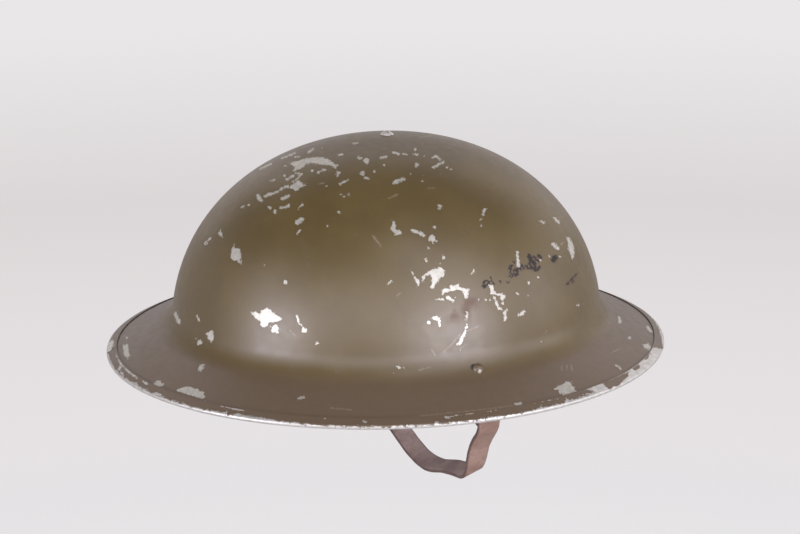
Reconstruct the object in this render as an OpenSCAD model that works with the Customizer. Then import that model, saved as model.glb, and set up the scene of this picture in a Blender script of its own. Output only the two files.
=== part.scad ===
// Steel helmet with a wide brim, a folded rim band, a riveted liner and a leather chin strap.
// The front looks along -Y, the crown points along +Z, and z = 0 is the plane of the rim.

/* [Shell] */
// Overall length over the rim band, front to back
overall_l = 305; // [301:1:312]
// Overall width over the rim band, side to side
overall_w = 286; // [282:1:292]
// Height of the crown above the plane of the rim
crown_h = 110.4; // [108:0.2:116]
// Length of the bowl where it meets the flare
bowl_l = 235.6; // [234:0.2:239]
// Fullness of the bowl's curve, where 2 is an ellipse
bowl_full = 2.12; // [2.06:0.01:2.2]
// Height of the middle of the bowl's curve
bowl_z = 6; // [3:0.5:9]
// Radius of the flare between the bowl and the brim
flare_r = 17; // [15:0.5:19]
// Slope of the brim, in degrees
brim_slope = 23; // [20:0.5:26]
// Thickness of the pressed steel
shell_t = 1; // [0.8:0.05:1.2]

/* [Rim band] */
// Width of the folded band, along the brim
band_w = 6; // [4.5:0.1:8]
// Thickness of the band's strip
band_t = 0.7; // [0.5:0.05:0.9]
// Slant of the joint where the band's ends meet, in degrees
band_slant = 32; // [10:1:45]

/* [Crown fixing] */
// Diameter of the screw's shank
screw_d = 4.6; // [4:0.1:5.2]
// Diameter of the screw's head
screw_head_d = 7.4; // [6.8:0.1:9]
// Height of the screw's domed head
screw_head_h = 2.1; // [1.6:0.1:2.6]
// Diameter of the rubber disc under the crown
disc_d = 26; // [20:1:28]
// Thickness of the rubber disc
disc_t = 4; // [3:0.1:5]
// Diameter of the plate over the nut
plate_d = 16; // [13:0.5:18]
// Thickness of the plate
plate_t = 1.2; // [0.8:0.1:1.6]
// Size of the hexagon nut across its flats
nut_af = 8; // [7.5:0.1:9]
// Height of the nut
nut_h = 3.6; // [3:0.1:4.5]

/* [Liner] */
// Space between the hoop's upper edge and the shell at the front and back
front_gap = 4.8; // [3.5:0.1:8]
// Space between the hoop's upper edge and the shell at the sides
side_gap = 14; // [11:0.1:18]
// Thickness of the sweatband
sweat_t = 1.6; // [1:0.1:2.2]
// Thickness of the fibre hoop
hoop_t = 1.6; // [1.2:0.1:2]
// Height of the fibre hoop
hoop_h = 34; // [30:1:36]
// Height of the side buffers above the lugs
buffer_lift = 0.7; // [0.4:0.1:2]
// Width of the crossed bands
cross_w = 22; // [20:0.5:24]
// Thickness of the crossed bands
cross_t = 1.2; // [0.9:0.1:1.4]
// Diameter of the rubber buffers
buffer_d = 18; // [14:0.5:18]
// Diameter of the crown pad
pad_d = 60; // [50:1:66]
// Radius of the lace ring that draws in the tongues
lace_r = 34; // [30:0.5:38]
// Diameter of the lace
lace_d = 2.4; // [1.8:0.1:2.8]
// Distance from the crown down to the lace
lace_drop = 24.4; // [23.4:0.1:27]
// Thickness of the lining tongues
tongue_t = 1.4; // [1:0.1:1.8]
// Diameter of the liner's rivets
rivet_d = 3; // [2.4:0.1:3.4]

/* [Lugs] */
// How far down the flare the lug rivets sit, in degrees
lug_turn = 44.2; // [40:0.1:47]
// Diameter of the lug rivet's shank
lug_rivet_d = 3.2; // [2.8:0.1:3.6]
// Diameter of the lug rivet's head
lug_head_d = 5.4; // [4.8:0.1:6]
// Height of the lug rivet's head
lug_head_h = 1.7; // [1.4:0.1:2]
// Thickness of the lug's steel
lug_t = 1.2; // [1:0.1:1.4]
// Width of the lug's pad
lug_w = 9; // [7:0.5:10]
// Diameter of the lug's eye at its mouths, from which it narrows to the ring's bar
eye_mouth = 5.6; // [5.4:0.1:6]
// Width of the lug's eye
eye_w = 4.6; // [3.6:0.1:4.8]

/* [Chin strap] */
// Width of the strap
strap_w = 11.2; // [10.8:0.1:12.7]
// Thickness of the strap
strap_t = 2; // [1.6:0.1:2.2]
// Diameter of the wire of the rings and the buckle
wire_d = 2.2; // [2:0.1:2.4]
// Height of a strap ring, bar to bar
ring_h = 10; // [9:0.5:11]
// How far the loop leans back at rest, in degrees
strap_lean = 8; // [4:1:10]
// Slope of the far leg, in degrees
leg_slope = 32; // [30:1:34]
// Distance from the far ring to the buckle's heel bar
heel_at = 44; // [42:0.5:47]
// Length of the buckle, bar to bar
buckle_l = 13; // [12.5:0.5:14]
// Length of the sliding keeper
keeper_l = 8; // [6:0.5:10]
// Distance from the far ring to the keeper's middle
keeper_at = 26; // [24:0.5:27]

/* [Hidden] */
$fn = 72;

// Colours
olive = [0.45, 0.40, 0.31];
bare_steel = [0.78, 0.77, 0.75];
dull_steel = [0.52, 0.51, 0.49];
brass = [0.68, 0.58, 0.36];
rubber = [0.16, 0.15, 0.15];
fibre = [0.36, 0.25, 0.17];
oilcloth = [0.13, 0.12, 0.11];
felt = [0.55, 0.52, 0.46];
cotton = [0.80, 0.76, 0.66];
leather = [0.50, 0.37, 0.31];

// Clearances
run_gap = 0.3;    // between pieces that move past each other
seat_gap = 0.2;   // between a flat piece and the curved wall that it sits on
hole_gap = 0.1;   // all round a shank in its hole
crimp_gap = 0.05; // between the rim band and the brim inside it
touch = 0.15;     // between a flat piece and a curved one of the same body
eps = 0.01;

// Shell: a bowl, a flare tangent to it, and a straight brim
squash = overall_w / overall_l;
band_r = shell_t / 2 + crimp_gap + band_t;
edge_r = overall_l / 2 - band_r;
plate_r = edge_r - 0.3;
brim_top = shell_t / 2 / cos(brim_slope);
bowl_steps = 18;
flare_steps = 7;

function bowl_at(a) = [bowl_l / 2 * pow(cos(a), 2 / bowl_full),
  bowl_z + (crown_h - bowl_z) * pow(sin(a), 2 / bowl_full)];
function bowl_lean(a) = let (p = bowl_at(a - 0.5), q = bowl_at(a + 0.5)) atan2(p.x - q.x, q.y - p.y);
function flare_mid(a) = bowl_at(a) + flare_r * [cos(bowl_lean(a)), sin(bowl_lean(a))];
function flare_end(a) = flare_mid(a) - flare_r * [sin(brim_slope), cos(brim_slope)];
function brim_miss(a) = let (p = flare_end(a)) p.y - brim_top - (edge_r - p.x) * tan(brim_slope);
function join_angle(low, high, left) = let (mid = (low + high) / 2)
  left == 0 ? mid : brim_miss(mid) > 0 ? join_angle(low, mid, left - 1) : join_angle(mid, high, left - 1);
join_a = join_angle(1, 60, 30);
flare_c = flare_mid(join_a);
outer_line = concat(
  [for (i = [0 : bowl_steps]) bowl_at(90 - i * (90 - join_a) / bowl_steps)],
  [for (i = [1 : flare_steps])
    let (a = bowl_lean(join_a) + i * (90 - brim_slope - bowl_lean(join_a)) / flare_steps)
    flare_c - flare_r * [cos(a), sin(a)]],
  [[plate_r, brim_top + (edge_r - plate_r) * tan(brim_slope)]]);

// Points of an open line moved sideways by d, to the right of its direction
function turned(v) = [v.y, -v.x] / norm(v);
function side(line, i) = turned(line[min(i + 1, len(line) - 1)] - line[max(i - 1, 0)]);
function moved(line, d) = [for (i = [0 : len(line) - 1]) line[i] + d * side(line, i)];
function back(line) = [for (i = [len(line) - 1 : -1 : 0]) line[i]];
function ribbon(line, t) = concat(moved(line, t / 2), back(moved(line, -t / 2)));
function inner_line(d) = concat([outer_line[0] - [0, d]],
  [for (i = [1 : len(outer_line) - 2]) outer_line[i] + d * side(outer_line, i)],
  [outer_line[len(outer_line) - 1] - [0, d / cos(brim_slope)]]);

// Radius of the bowl's outer face along Y at a height
function bowl_r(z) = bowl_l / 2 * pow(1 - pow((z - bowl_z) / (crown_h - bowl_z), bowl_full), 1 / bowl_full);

// Lug rivets: on the flare, square to the wall
lug_rivet_z = flare_c.y - flare_r * sin(lug_turn);
rivet_x = squash * (flare_c.x - flare_r * cos(lug_turn));
wall_tip = atan2(squash * sin(lug_turn), cos(lug_turn));
pad_face = -shell_t - seat_gap;
eye_r = eye_mouth / 2 + lug_t;
neck_h = 0.5;
eye_at = [pad_face - eye_r, -lug_w / 2 - neck_h - eye_r];
hinge_x = rivet_x + eye_at.x * cos(wall_tip) - eye_at.y * sin(wall_tip);
hinge_z = lug_rivet_z + eye_at.x * sin(wall_tip) + eye_at.y * cos(wall_tip);

// Liner: half lengths along X and Y, from the head outwards
hoop_gap = 0.9;
hoop_mid = lug_rivet_z + lug_w / 2 + buffer_lift + buffer_d / 2;
hoop_z = hoop_mid - hoop_h / 2;
liner_t = sweat_t + hoop_gap + hoop_t + touch + cross_t;
cross_z = hoop_z + hoop_h;
head_half = bowl_r(cross_z) * [squash, 1] - [side_gap, front_gap] - (shell_t + liner_t) * [1, 1];
hoop_in = head_half + (sweat_t + hoop_gap) * [1, 1];
hoop_out = hoop_in + hoop_t * [1, 1];
tab_mid = hoop_out + (touch + cross_t / 2) * [1, 1];
tab_out = tab_mid + cross_t / 2 * [1, 1];
tab_z = hoop_z + 2;
rivet_step = 12;

// Fullness of the liner's arches, where 2 is an ellipse
arch_full = 1.8;

// Crown stack, downwards: disc, long band, wide band, plate and nut
disc_gap = 0.7;   // the bowl curves down to the disc's edge
band_gap = 0.75;  // the bands part where they arch down
plate_gap = 0.5;  // the band's arch is lower at the plate's edge
disc_top = crown_h - shell_t - disc_gap;
long_top = disc_top - disc_t;
wide_top = long_top - cross_t - band_gap;
plate_top = wide_top - cross_t - plate_gap;
nut_top = plate_top - plate_t;
screw_over = 0.8;
screw_end = nut_top - nut_h - screw_over;
lace_z = crown_h - lace_drop;

// Chin strap: everything hangs from the hinge line and leans back with it
strap_gap = 0.2;
strap_side = 0.5;
fold_r = wire_d / 2 + strap_gap + strap_t;
fold_mid = wire_d / 2 + strap_gap + strap_t / 2;
ring_w = strap_w + 1 + wire_d;
frame_w = strap_w + 1.4 + wire_d;
layer = strap_t + 0.2;
under_bar = wire_d / 2 + run_gap + strap_t / 2;
over_heel = fold_r + run_gap + strap_t / 2;
over_leg = layer / 2 + strap_t / 2 + run_gap + strap_t / 2;
front_at = heel_at + buckle_l;
tip_at = 9;

oval_steps = 96;
module oval(half) {
  polygon([for (i = [1 : oval_steps]) let (a = i * 360 / oval_steps) [half.x * cos(a), half.y * sin(a)]]);
}

module oval_band(inside, t, h) {
  linear_extrude(h) difference() {
    oval(inside + [t, t]);
    oval(inside);
  }
}

// A turned shape drawn in to the helmet's oval plan, in four quarters
module oval_turn() {
  scale([squash, 1, 1]) for (quarter = [0 : 3]) rotate(90 * quarter) rotate_extrude(angle = 90) children();
}

// Frame of a lug: x points out of the wall, z up along it
module at_lug(side_x) {
  mirror([side_x < 0 ? 1 : 0, 0, 0]) translate([rivet_x, 0, lug_rivet_z]) rotate([0, -wall_tip, 0])
    children();
}

// Frame of the strap: its hinge line at z = 0, leaning back
module at_strap() {
  translate([0, 0, hinge_z]) rotate([strap_lean, 0, 0]) translate([0, strap_side, 0]) children();
}

// Frame of the far leg: x runs down it from the ring's lower bar, z points to the head
module at_leg() {
  at_strap() translate([-hinge_x, 0, -ring_h]) rotate([0, leg_slope, 0]) children();
}

module domed(d, h) {
  ball_r = (d * d / 4 + h * h) / (2 * h);
  intersection() {
    translate([0, 0, h - ball_r]) sphere(r = ball_r);
    cylinder(d = d, h = h);
  }
}

module wire_loop(w, l, d) {
  for (x = [0, l]) translate([x, 0, 0]) rotate([90, 0, 0]) cylinder(d = d, h = w, center = true, $fn = 32);
  for (y = [-w / 2, w / 2]) translate([0, y, 0]) {
    rotate([0, 90, 0]) cylinder(d = d, h = l, $fn = 32);
    for (x = [0, l]) translate([x, 0, 0]) sphere(d = d, $fn = 32);
  }
}

module shell() {
  color(olive) difference() {
    oval_turn() polygon(concat(outer_line, back(inner_line(shell_t))));
    translate([0, 0, crown_h / 2]) cylinder(d = screw_d + 2 * hole_gap, h = crown_h);
    for (side_x = [-1, 1]) at_lug(side_x) rotate([0, 90, 0])
      cylinder(d = lug_rivet_d + 2 * hole_gap, h = 12, center = true);
  }
}

// Point of the band's section: s inwards along the brim, m across it
function across_rim(s, m) = [edge_r, 0] + s * [-cos(brim_slope), sin(brim_slope)] + m * [sin(brim_slope), cos(brim_slope)];
function fold_line(r, n) = [for (i = [0 : n]) let (a = 90 - i * 180 / n) across_rim(-r * cos(a), r * sin(a))];
flange = band_w - band_r;
band_line = concat([across_rim(flange, band_r)], fold_line(band_r, 8), [across_rim(flange, -band_r),
  across_rim(flange, band_t - band_r)], back(fold_line(band_r - band_t, 4)), [across_rim(flange, band_r - band_t)]);

module rim_band() {
  slit_w = 0.3;
  color(bare_steel) difference() {
    oval_turn() polygon(band_line);
    translate([0, -overall_l / 2, 0]) rotate(band_slant) cube([slit_w, 4 * band_w, 4 * band_w], center = true);
  }
}

module crown_screw() {
  slot_w = 1.1;
  slot_h = 1;
  color(brass) {
    difference() {
      translate([0, 0, crown_h]) domed(screw_head_d, screw_head_h);
      translate([-screw_head_d, -slot_w / 2, crown_h + screw_head_h - slot_h])
        cube([2 * screw_head_d, slot_w, 2 * slot_h]);
    }
    translate([0, 0, screw_end]) cylinder(d = screw_d, h = crown_h - screw_end + eps);
  }
}

module crown_disc() {
  color(rubber) translate([0, 0, long_top]) difference() {
    cylinder(d = disc_d, h = disc_t);
    translate([0, 0, -1]) cylinder(d = screw_d + 2 * hole_gap, h = disc_t + 2);
  }
}

// Line of a crossed band: a tab, the arch over the head, and a tab
function arch_height(x, half, top) = cross_z + (top - cross_z) * pow(1 - pow(x / half, arch_full), 1 / arch_full);
function arch(half, top) = let (
  rise = [for (i = [0 : 20]) let (x = half * pow(cos(4.5 * i), 2 / arch_full)) [x, arch_height(x, half, top)]])
  concat([[-half, tab_z]], [for (p = rise) [-p.x, p.y]], [for (i = [19 : -1 : 0]) rise[i]], [[half, tab_z]]);

module cross_band(half, top) {
  rotate([90, 0, 0]) linear_extrude(cross_w, center = true) polygon(ribbon(arch(half, top - cross_t / 2), cross_t));
}

module liner_holes() {
  for (turn = [0 : 3]) rotate(90 * turn) for (z = [-rivet_step, 0, rivet_step])
    translate([0, 0, hoop_mid + z]) rotate([0, 90, 0]) cylinder(d = rivet_d + 2 * hole_gap, h = overall_l / 2);
}

module screw_hole() {
  translate([0, 0, screw_end]) cylinder(d = screw_d + 2 * hole_gap, h = crown_h);
}

module cross_band_long() {
  color(fibre) difference() {
    rotate(90) cross_band(tab_mid.y, long_top);
    screw_hole();
    liner_holes();
  }
}

module cross_band_wide() {
  color(fibre) difference() {
    cross_band(tab_mid.x, wide_top);
    screw_hole();
    liner_holes();
  }
}

module crown_plate() {
  color(dull_steel) translate([0, 0, plate_top - plate_t]) difference() {
    cylinder(d = plate_d, h = plate_t);
    translate([0, 0, -1]) cylinder(d = screw_d + 2 * hole_gap, h = plate_t + 2);
  }
}

module crown_nut() {
  color(brass) translate([0, 0, nut_top - nut_h]) difference() {
    cylinder(d = nut_af / cos(30), h = nut_h, $fn = 6);
    translate([0, 0, -1]) cylinder(d = screw_d + 2 * hole_gap, h = nut_h + 2);
  }
}

module crown_pad() {
  pad_t = 5;
  bevel = 1.6;
  hole_r = plate_d / 2 + 1;
  function under_band(r) = arch_height(r, tab_mid.x - cross_t / 2, wide_top - cross_t) - run_gap;
  top = [for (i = [0 : 8]) let (r = hole_r + i * (pad_d / 2 - bevel - hole_r) / 8) [r, under_band(r)]];
  high = under_band(pad_d / 2);
  low = high - pad_t;
  color(felt) rotate_extrude() polygon(concat(top, [[pad_d / 2, high - bevel], [pad_d / 2, low + bevel],
    [pad_d / 2 - bevel, low], [hole_r, low]]));
}

module liner_hoop() {
  color(fibre) difference() {
    translate([0, 0, hoop_z]) oval_band(hoop_in, hoop_t, hoop_h);
    liner_holes();
  }
}

// A rivet along x whose outer head sits at x = face and whose grip reaches back to x = inside
module liner_rivet(inside, face, head_d, head_h) {
  tail_h = 0.7;
  translate([face, 0, 0]) rotate([0, 90, 0]) domed(head_d, head_h);
  translate([inside - touch - tail_h, 0, 0]) rotate([0, 90, 0]) {
    cylinder(d = rivet_d, h = tail_h + touch + face - inside + eps);
    cylinder(d = rivet_d + 2, h = tail_h);
  }
}

module liner_rivets() {
  color(brass) for (turn = [0 : 3]) rotate(90 * turn) for (z = [-rivet_step, rivet_step]) {
    inside = turn % 2 == 0 ? hoop_in.x : hoop_in.y;
    translate([0, 0, hoop_mid + z])
      liner_rivet(inside, inside + hoop_t + touch + cross_t, rivet_d + 3, 1);
  }
}

// The rubber buffers fill the space between the hoop and the bowl
buffer_base = 3;
buffer_head_d = rivet_d + 3.4;
module buffer(turn) {
  face = turn % 2 == 0 ? tab_out.x : tab_out.y;
  color(rubber) intersection() {
    rotate(90 * turn) translate([face, 0, hoop_mid]) rotate([0, 90, 0]) difference() {
      cylinder(d = buffer_d, h = overall_l / 2);
      translate([0, 0, -1]) cylinder(d = rivet_d + 2 * hole_gap, h = 10);
      translate([0, 0, buffer_base]) cylinder(d = buffer_head_d + 1, h = overall_l / 2);
    }
    scale([squash, 1, 1]) rotate(90 * turn - 45) rotate_extrude(angle = 90)
      polygon(concat([for (p = inner_line(shell_t + run_gap)) if (p.y > hoop_z - 4) [max(p.x, 0), p.y]],
        [[0, hoop_z - 2]]));
  }
}

module buffer_front() buffer(3);
module buffer_back() buffer(1);
module buffer_left() buffer(0);
module buffer_right() buffer(2);

module buffer_rivets() {
  color(brass) for (turn = [0 : 3]) rotate(90 * turn) {
    inside = turn % 2 == 0 ? hoop_in.x : hoop_in.y;
    face = (turn % 2 == 0 ? tab_out.x : tab_out.y) + buffer_base;
    translate([0, 0, hoop_mid]) liner_rivet(inside, face, buffer_head_d, 1.2);
  }
}

sweat_low = hoop_z - 1;
sweat_top = hoop_z + hoop_h + 1.5;
module sweatband() {
  color(leather) translate([0, 0, sweat_low]) oval_band(head_half, sweat_t, sweat_top - sweat_low);
}

// Eight tongues rise from the sweatband and curve in to the lace
tongues = 8;
tongue_rows = 8;
tongue_cols = 4;
tongue_low = 20; // half of a tongue's angle at the sweatband
tongue_high = 15; // and at the lace
loop_t = 0.9;
loop_r = lace_d / 2 + run_gap + loop_t;
function tongue_at(turn, side_a, rise, out) = let (
  end_r = lace_r + loop_r + touch,
  low = pow(cos(90 * rise), 2 / arch_full),
  high = pow(sin(90 * rise), 2 / arch_full),
  half = [for (h = [head_half.x, head_half.y]) end_r + (h - end_r) * low + out * tongue_t * cos(90 * rise)],
  a = turn + side_a * (tongue_low + rise * (tongue_high - tongue_low)))
  [half.x * cos(a), half.y * sin(a),
    sweat_top + touch + (lace_z - sweat_top - tongue_t / 2) * high + out * tongue_t * sin(90 * rise)];

module tongue(turn) {
  n = tongue_cols + 1;
  m = tongue_rows + 1;
  points = [for (out = [0, 1], j = [0 : tongue_rows], i = [0 : tongue_cols])
    tongue_at(turn, 2 * i / tongue_cols - 1, j / tongue_rows, out)];
  function at(out, j, i) = out * n * m + j * n + i;
  faces = concat(
    [for (j = [0 : tongue_rows - 1], i = [0 : tongue_cols - 1], k = [0, 1]) k == 0
      ? [at(1, j, i), at(1, j + 1, i), at(1, j, i + 1)] : [at(1, j + 1, i), at(1, j + 1, i + 1), at(1, j, i + 1)]],
    [for (j = [0 : tongue_rows - 1], i = [0 : tongue_cols - 1], k = [0, 1]) k == 0
      ? [at(0, j, i), at(0, j, i + 1), at(0, j + 1, i)] : [at(0, j + 1, i), at(0, j, i + 1), at(0, j + 1, i + 1)]],
    [for (i = [0 : tongue_cols - 1], k = [0, 1]) k == 0
      ? [at(0, 0, i), at(1, 0, i), at(0, 0, i + 1)] : [at(1, 0, i), at(1, 0, i + 1), at(0, 0, i + 1)]],
    [for (i = [0 : tongue_cols - 1], k = [0, 1]) k == 0
      ? [at(0, tongue_rows, i), at(0, tongue_rows, i + 1), at(1, tongue_rows, i)]
      : [at(1, tongue_rows, i), at(0, tongue_rows, i + 1), at(1, tongue_rows, i + 1)]],
    [for (j = [0 : tongue_rows - 1], k = [0, 1]) k == 0
      ? [at(0, j, 0), at(0, j + 1, 0), at(1, j, 0)] : [at(1, j, 0), at(0, j + 1, 0), at(1, j + 1, 0)]],
    [for (j = [0 : tongue_rows - 1], k = [0, 1]) k == 0
      ? [at(0, j, tongue_cols), at(1, j, tongue_cols), at(0, j + 1, tongue_cols)]
      : [at(1, j, tongue_cols), at(1, j + 1, tongue_cols), at(0, j + 1, tongue_cols)]]);
  polyhedron(points, faces);
}

module lining_tongues() {
  color(oilcloth) for (i = [0 : tongues - 1]) tongue((i + 0.5) * 360 / tongues);
}

module lace_loops() {
  half_a = tongue_high - 1;
  color(oilcloth) for (i = [0 : tongues - 1]) rotate((i + 0.5) * 360 / tongues - half_a) translate([0, 0, lace_z])
    rotate_extrude(angle = 2 * half_a) translate([lace_r, 0]) difference() {
      circle(r = loop_r, $fn = 24);
      circle(r = loop_r - loop_t, $fn = 24);
    }
}

module lining_lace() {
  knot_a = 8;
  color(cotton) translate([0, 0, lace_z]) {
    rotate_extrude() translate([lace_r, 0]) circle(d = lace_d, $fn = 24);
    rotate(90 - knot_a / 2) rotate_extrude(angle = knot_a) translate([lace_r, 0]) circle(d = 2 * lace_d, $fn = 24);
  }
}

// The eye flares to both sides, so the ring's bar can cant in it as the loop swings
module lug(side_x) {
  throat_d = wire_d + 2 * run_gap;
  color(dull_steel) at_lug(side_x) difference() {
    union() {
      translate([pad_face - lug_t, -lug_w / 2, -lug_w / 2]) cube([lug_t, lug_w, lug_w]);
      translate([pad_face - lug_t, -eye_w / 2, eye_at.y]) cube([lug_t, eye_w, -eye_at.y]);
      translate([eye_at.x, 0, eye_at.y]) rotate([90, 0, 0]) cylinder(r = eye_r, h = eye_w, center = true);
    }
    for (turn = [-90, 90]) translate([eye_at.x, 0, eye_at.y]) rotate([turn, 0, 0])
      cylinder(d1 = throat_d, d2 = 2 * eye_mouth - throat_d, h = eye_w);
    rotate([0, 90, 0]) cylinder(d = lug_rivet_d + 2 * hole_gap, h = 12, center = true);
  }
}

module lug_left() lug(1);
module lug_right() lug(-1);

module lug_rivet(side_x) {
  tail_h = 1;
  color(olive) at_lug(side_x) rotate([0, 90, 0]) {
    translate([0, 0, seat_gap]) domed(lug_head_d, lug_head_h);
    translate([0, 0, pad_face - lug_t - touch - tail_h]) {
      cylinder(d = lug_rivet_d, h = tail_h + touch + lug_t - pad_face + seat_gap + eps);
      cylinder(d = lug_rivet_d + 1.6, h = tail_h);
    }
  }
}

module lug_rivet_left() lug_rivet(1);
module lug_rivet_right() lug_rivet(-1);

module strap_ring(side_x) {
  color(dull_steel) at_strap() translate([side_x * hinge_x, 0, 0]) rotate([0, 90, 0])
    wire_loop(ring_w, ring_h, wire_d);
}

module strap_ring_left() strap_ring(1);
module strap_ring_right() strap_ring(-1);

// Line of the long strap in the strap's frame, as x, z and twist in degrees.
// It is chosen by hand from the near ring to the far leg, and follows the leg from there.
near_line = [[fold_mid, 0, 0], [fold_mid + 0.3, -2.5, -1], [4.2, -6, -3], [1.5, -11, -4], [-6, -18.5, -4],
  [-11.5, -25, -3], [-15.5, -31.5, 0], [-18.5, -37.5, 4], [-22.5, -43.5, 9], [-29, -46, 13],
  [-39, -48, 14], [-54, -52, 14], [-72, -58.5, 14], [-86, -61, 12], [-100, -60.5, 6], [-118, -56, 0]];
function leg_at(s, m) = [-hinge_x + s * cos(leg_slope) + m * sin(leg_slope),
  -ring_h - s * sin(leg_slope) + m * cos(leg_slope), 0];
far_line = [leg_at(front_at + 30, under_bar), leg_at(front_at + 18, under_bar), leg_at(front_at + 6, under_bar),
  leg_at(front_at - 1, under_bar), leg_at((heel_at + front_at) / 2, (under_bar - over_heel) / 2),
  leg_at(heel_at + 1, -over_heel), leg_at(heel_at - 4, -over_heel), leg_at(heel_at - 11, -over_leg),
  leg_at(keeper_at, -over_leg), leg_at(tip_at, -over_leg)];
strap_line = concat([for (p = near_line) [hinge_x + p.x, -ring_h + p.y, p.z]], far_line);

// A smooth line through the points, with cuts between each pair
function spline_at(a, b, c, d, u) = 0.5 * (2 * b + (c - a) * u + (2 * a - 5 * b + 4 * c - d) * u * u
  + (3 * b - a - 3 * c + d) * u * u * u);
function smooth(line, cuts) = let (last = len(line) - 1) concat(
  [for (i = [0 : last - 1], k = [0 : cuts - 1])
    spline_at(line[max(i - 1, 0)], line[i], line[i + 1], line[min(i + 2, last)], k / cuts)], [line[last]]);
strap_run = smooth(strap_line, 3);

// The near end goes round the ring's bar and back along the inside of the strap
turn_back = 9;
function flat(p) = [p.x, p.y];
function inside_of(i) = let (d = strap_run[i + 1] - strap_run[max(i - 1, 0)], n = norm(flat(d)))
  flat(strap_run[i]) - (layer + (2 * fold_mid - layer) * pow(min(1, max(0, (7 - i) / 6)), 2)) * [-d.y, d.x] / n;
return_run = [for (i = [turn_back : -1 : 0]) let (p = inside_of(i)) [p.x, p.y, strap_run[i].z]];
bar_run = [for (a = [160 : -20 : 20]) [hinge_x + fold_mid * cos(a), -ring_h + fold_mid * sin(a), 0]];
whole_run = concat(return_run, bar_run, strap_run);

// Four corners of the strap's section at a point of its line, rounded in plan at the tip
tip_steps = 4;
function strap_ring_at(i) = let (
  last = len(whole_run) - 1,
  d = flat(whole_run[min(i + 1, last)] - whole_run[max(i - 1, 0)]),
  out = [d.y, 0, -d.x] / norm(d),
  twist = whole_run[i].z,
  across = [0, cos(twist), 0] + sin(twist) * out,
  up = -sin(twist) * [0, 1, 0] + cos(twist) * out,
  over = max(0, i - last + tip_steps) / (tip_steps + 0.3),
  half = strap_w / 2 * sqrt(1 - over * over),
  mid = [whole_run[i].x, 0, whole_run[i].y])
  [for (c = [[-1, -1], [1, -1], [1, 1], [-1, 1]]) mid + c.x * half * across + c.y * strap_t / 2 * up];

module strap_sweep() {
  count = len(whole_run);
  points = [for (i = [0 : count - 1]) each strap_ring_at(i)];
  sides = [for (i = [0 : count - 2], c = [0 : 3], k = [0, 1]) let (e = (c + 1) % 4) k == 0
    ? [4 * i + c, 4 * i + e, 4 * i + 4 + c] : [4 * i + e, 4 * i + 4 + e, 4 * i + 4 + c]];
  polyhedron(points, concat(sides, [[0, 3, 2], [0, 2, 1]],
    [[4 * count - 4, 4 * count - 3, 4 * count - 2], [4 * count - 4, 4 * count - 2, 4 * count - 1]]));
}

prong_d = 2;
slot_w = prong_d + 1.2;
hole_d = 3.6;
module chin_strap() {
  color(leather) difference() {
    at_strap() strap_sweep();
    at_leg() {
      translate([heel_at - 0.5, -slot_w / 2, -2 * over_heel]) cube([buckle_l - 2, slot_w, 2 * over_heel + 2 * strap_t]);
      for (s = [front_at + 7, front_at + 17]) translate([s, 0, 0]) cylinder(d = hole_d, h = 8, $fn = 24);
      translate([tip_at + 7, 0, -8]) cylinder(d = hole_d, h = 8, $fn = 24);
    }
  }
}

module buckle_strap() {
  color(leather) at_leg() difference() {
    rotate([90, 0, 0]) linear_extrude(strap_w, center = true) difference() {
      union() {
        circle(r = fold_r, $fn = 36);
        translate([heel_at, 0]) circle(r = fold_r, $fn = 36);
        translate([0, -layer / 2 - strap_t / 2]) square([heel_at, layer + strap_t]);
      }
      circle(r = wire_d / 2 + strap_gap, $fn = 36);
      translate([heel_at, 0]) circle(r = wire_d / 2 + strap_gap, $fn = 36);
    }
    translate([heel_at - 3, -slot_w / 2, -2 * fold_r]) cube([3 + 2 * fold_r, slot_w, 4 * fold_r]);
  }
}

module buckle_frame() {
  color(dull_steel) at_leg() translate([heel_at, 0, 0]) wire_loop(frame_w, buckle_l, wire_d);
}

module buckle_prong() {
  rest = wire_d / 2 + run_gap + prong_d / 2;
  lift = 1.2;
  color(dull_steel) at_leg() translate([heel_at, 0, 0]) difference() {
    union() {
      rotate([90, 0, 0]) cylinder(d = wire_d + 3, h = prong_d, center = true);
      translate([0, 0, -lift]) rotate([0, 90 + atan((rest - lift) / buckle_l), 0]) {
        cylinder(d = prong_d, h = buckle_l + 1, $fn = 24);
        translate([0, 0, buckle_l + 1]) sphere(d = prong_d, $fn = 24);
      }
    }
    rotate([90, 0, 0]) cylinder(d = wire_d + 0.5, h = 4 * prong_d, center = true);
  }
}

module strap_keeper() {
  wall = 1.4;
  inner_w = strap_w + 2 * run_gap;
  low = layer / 2 + strap_t / 2 + run_gap;
  high = over_leg + strap_t / 2 + run_gap;
  color(leather) at_leg() translate([keeper_at - keeper_l / 2, 0, 0]) rotate([90, 0, 90]) linear_extrude(keeper_l)
    difference() {
      translate([-inner_w / 2 - wall, -high - wall]) square([inner_w + 2 * wall, high + low + 2 * wall]);
      translate([-inner_w / 2, -high]) square([inner_w, high + low]);
    }
}

shell();
rim_band();
crown_screw();
crown_disc();
cross_band_long();
cross_band_wide();
crown_plate();
crown_nut();
crown_pad();
liner_hoop();
liner_rivets();
buffer_front();
buffer_back();
buffer_left();
buffer_right();
buffer_rivets();
sweatband();
lining_tongues();
lace_loops();
lining_lace();
lug_left();
lug_right();
lug_rivet_left();
lug_rivet_right();
strap_ring_left();
strap_ring_right();
chin_strap();
buckle_strap();
buckle_frame();
buckle_prong();
strap_keeper();
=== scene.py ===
import math

import bmesh
import bpy
import numpy as np
from mathutils import Matrix, Vector
from mathutils.bvhtree import BVHTree


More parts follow.
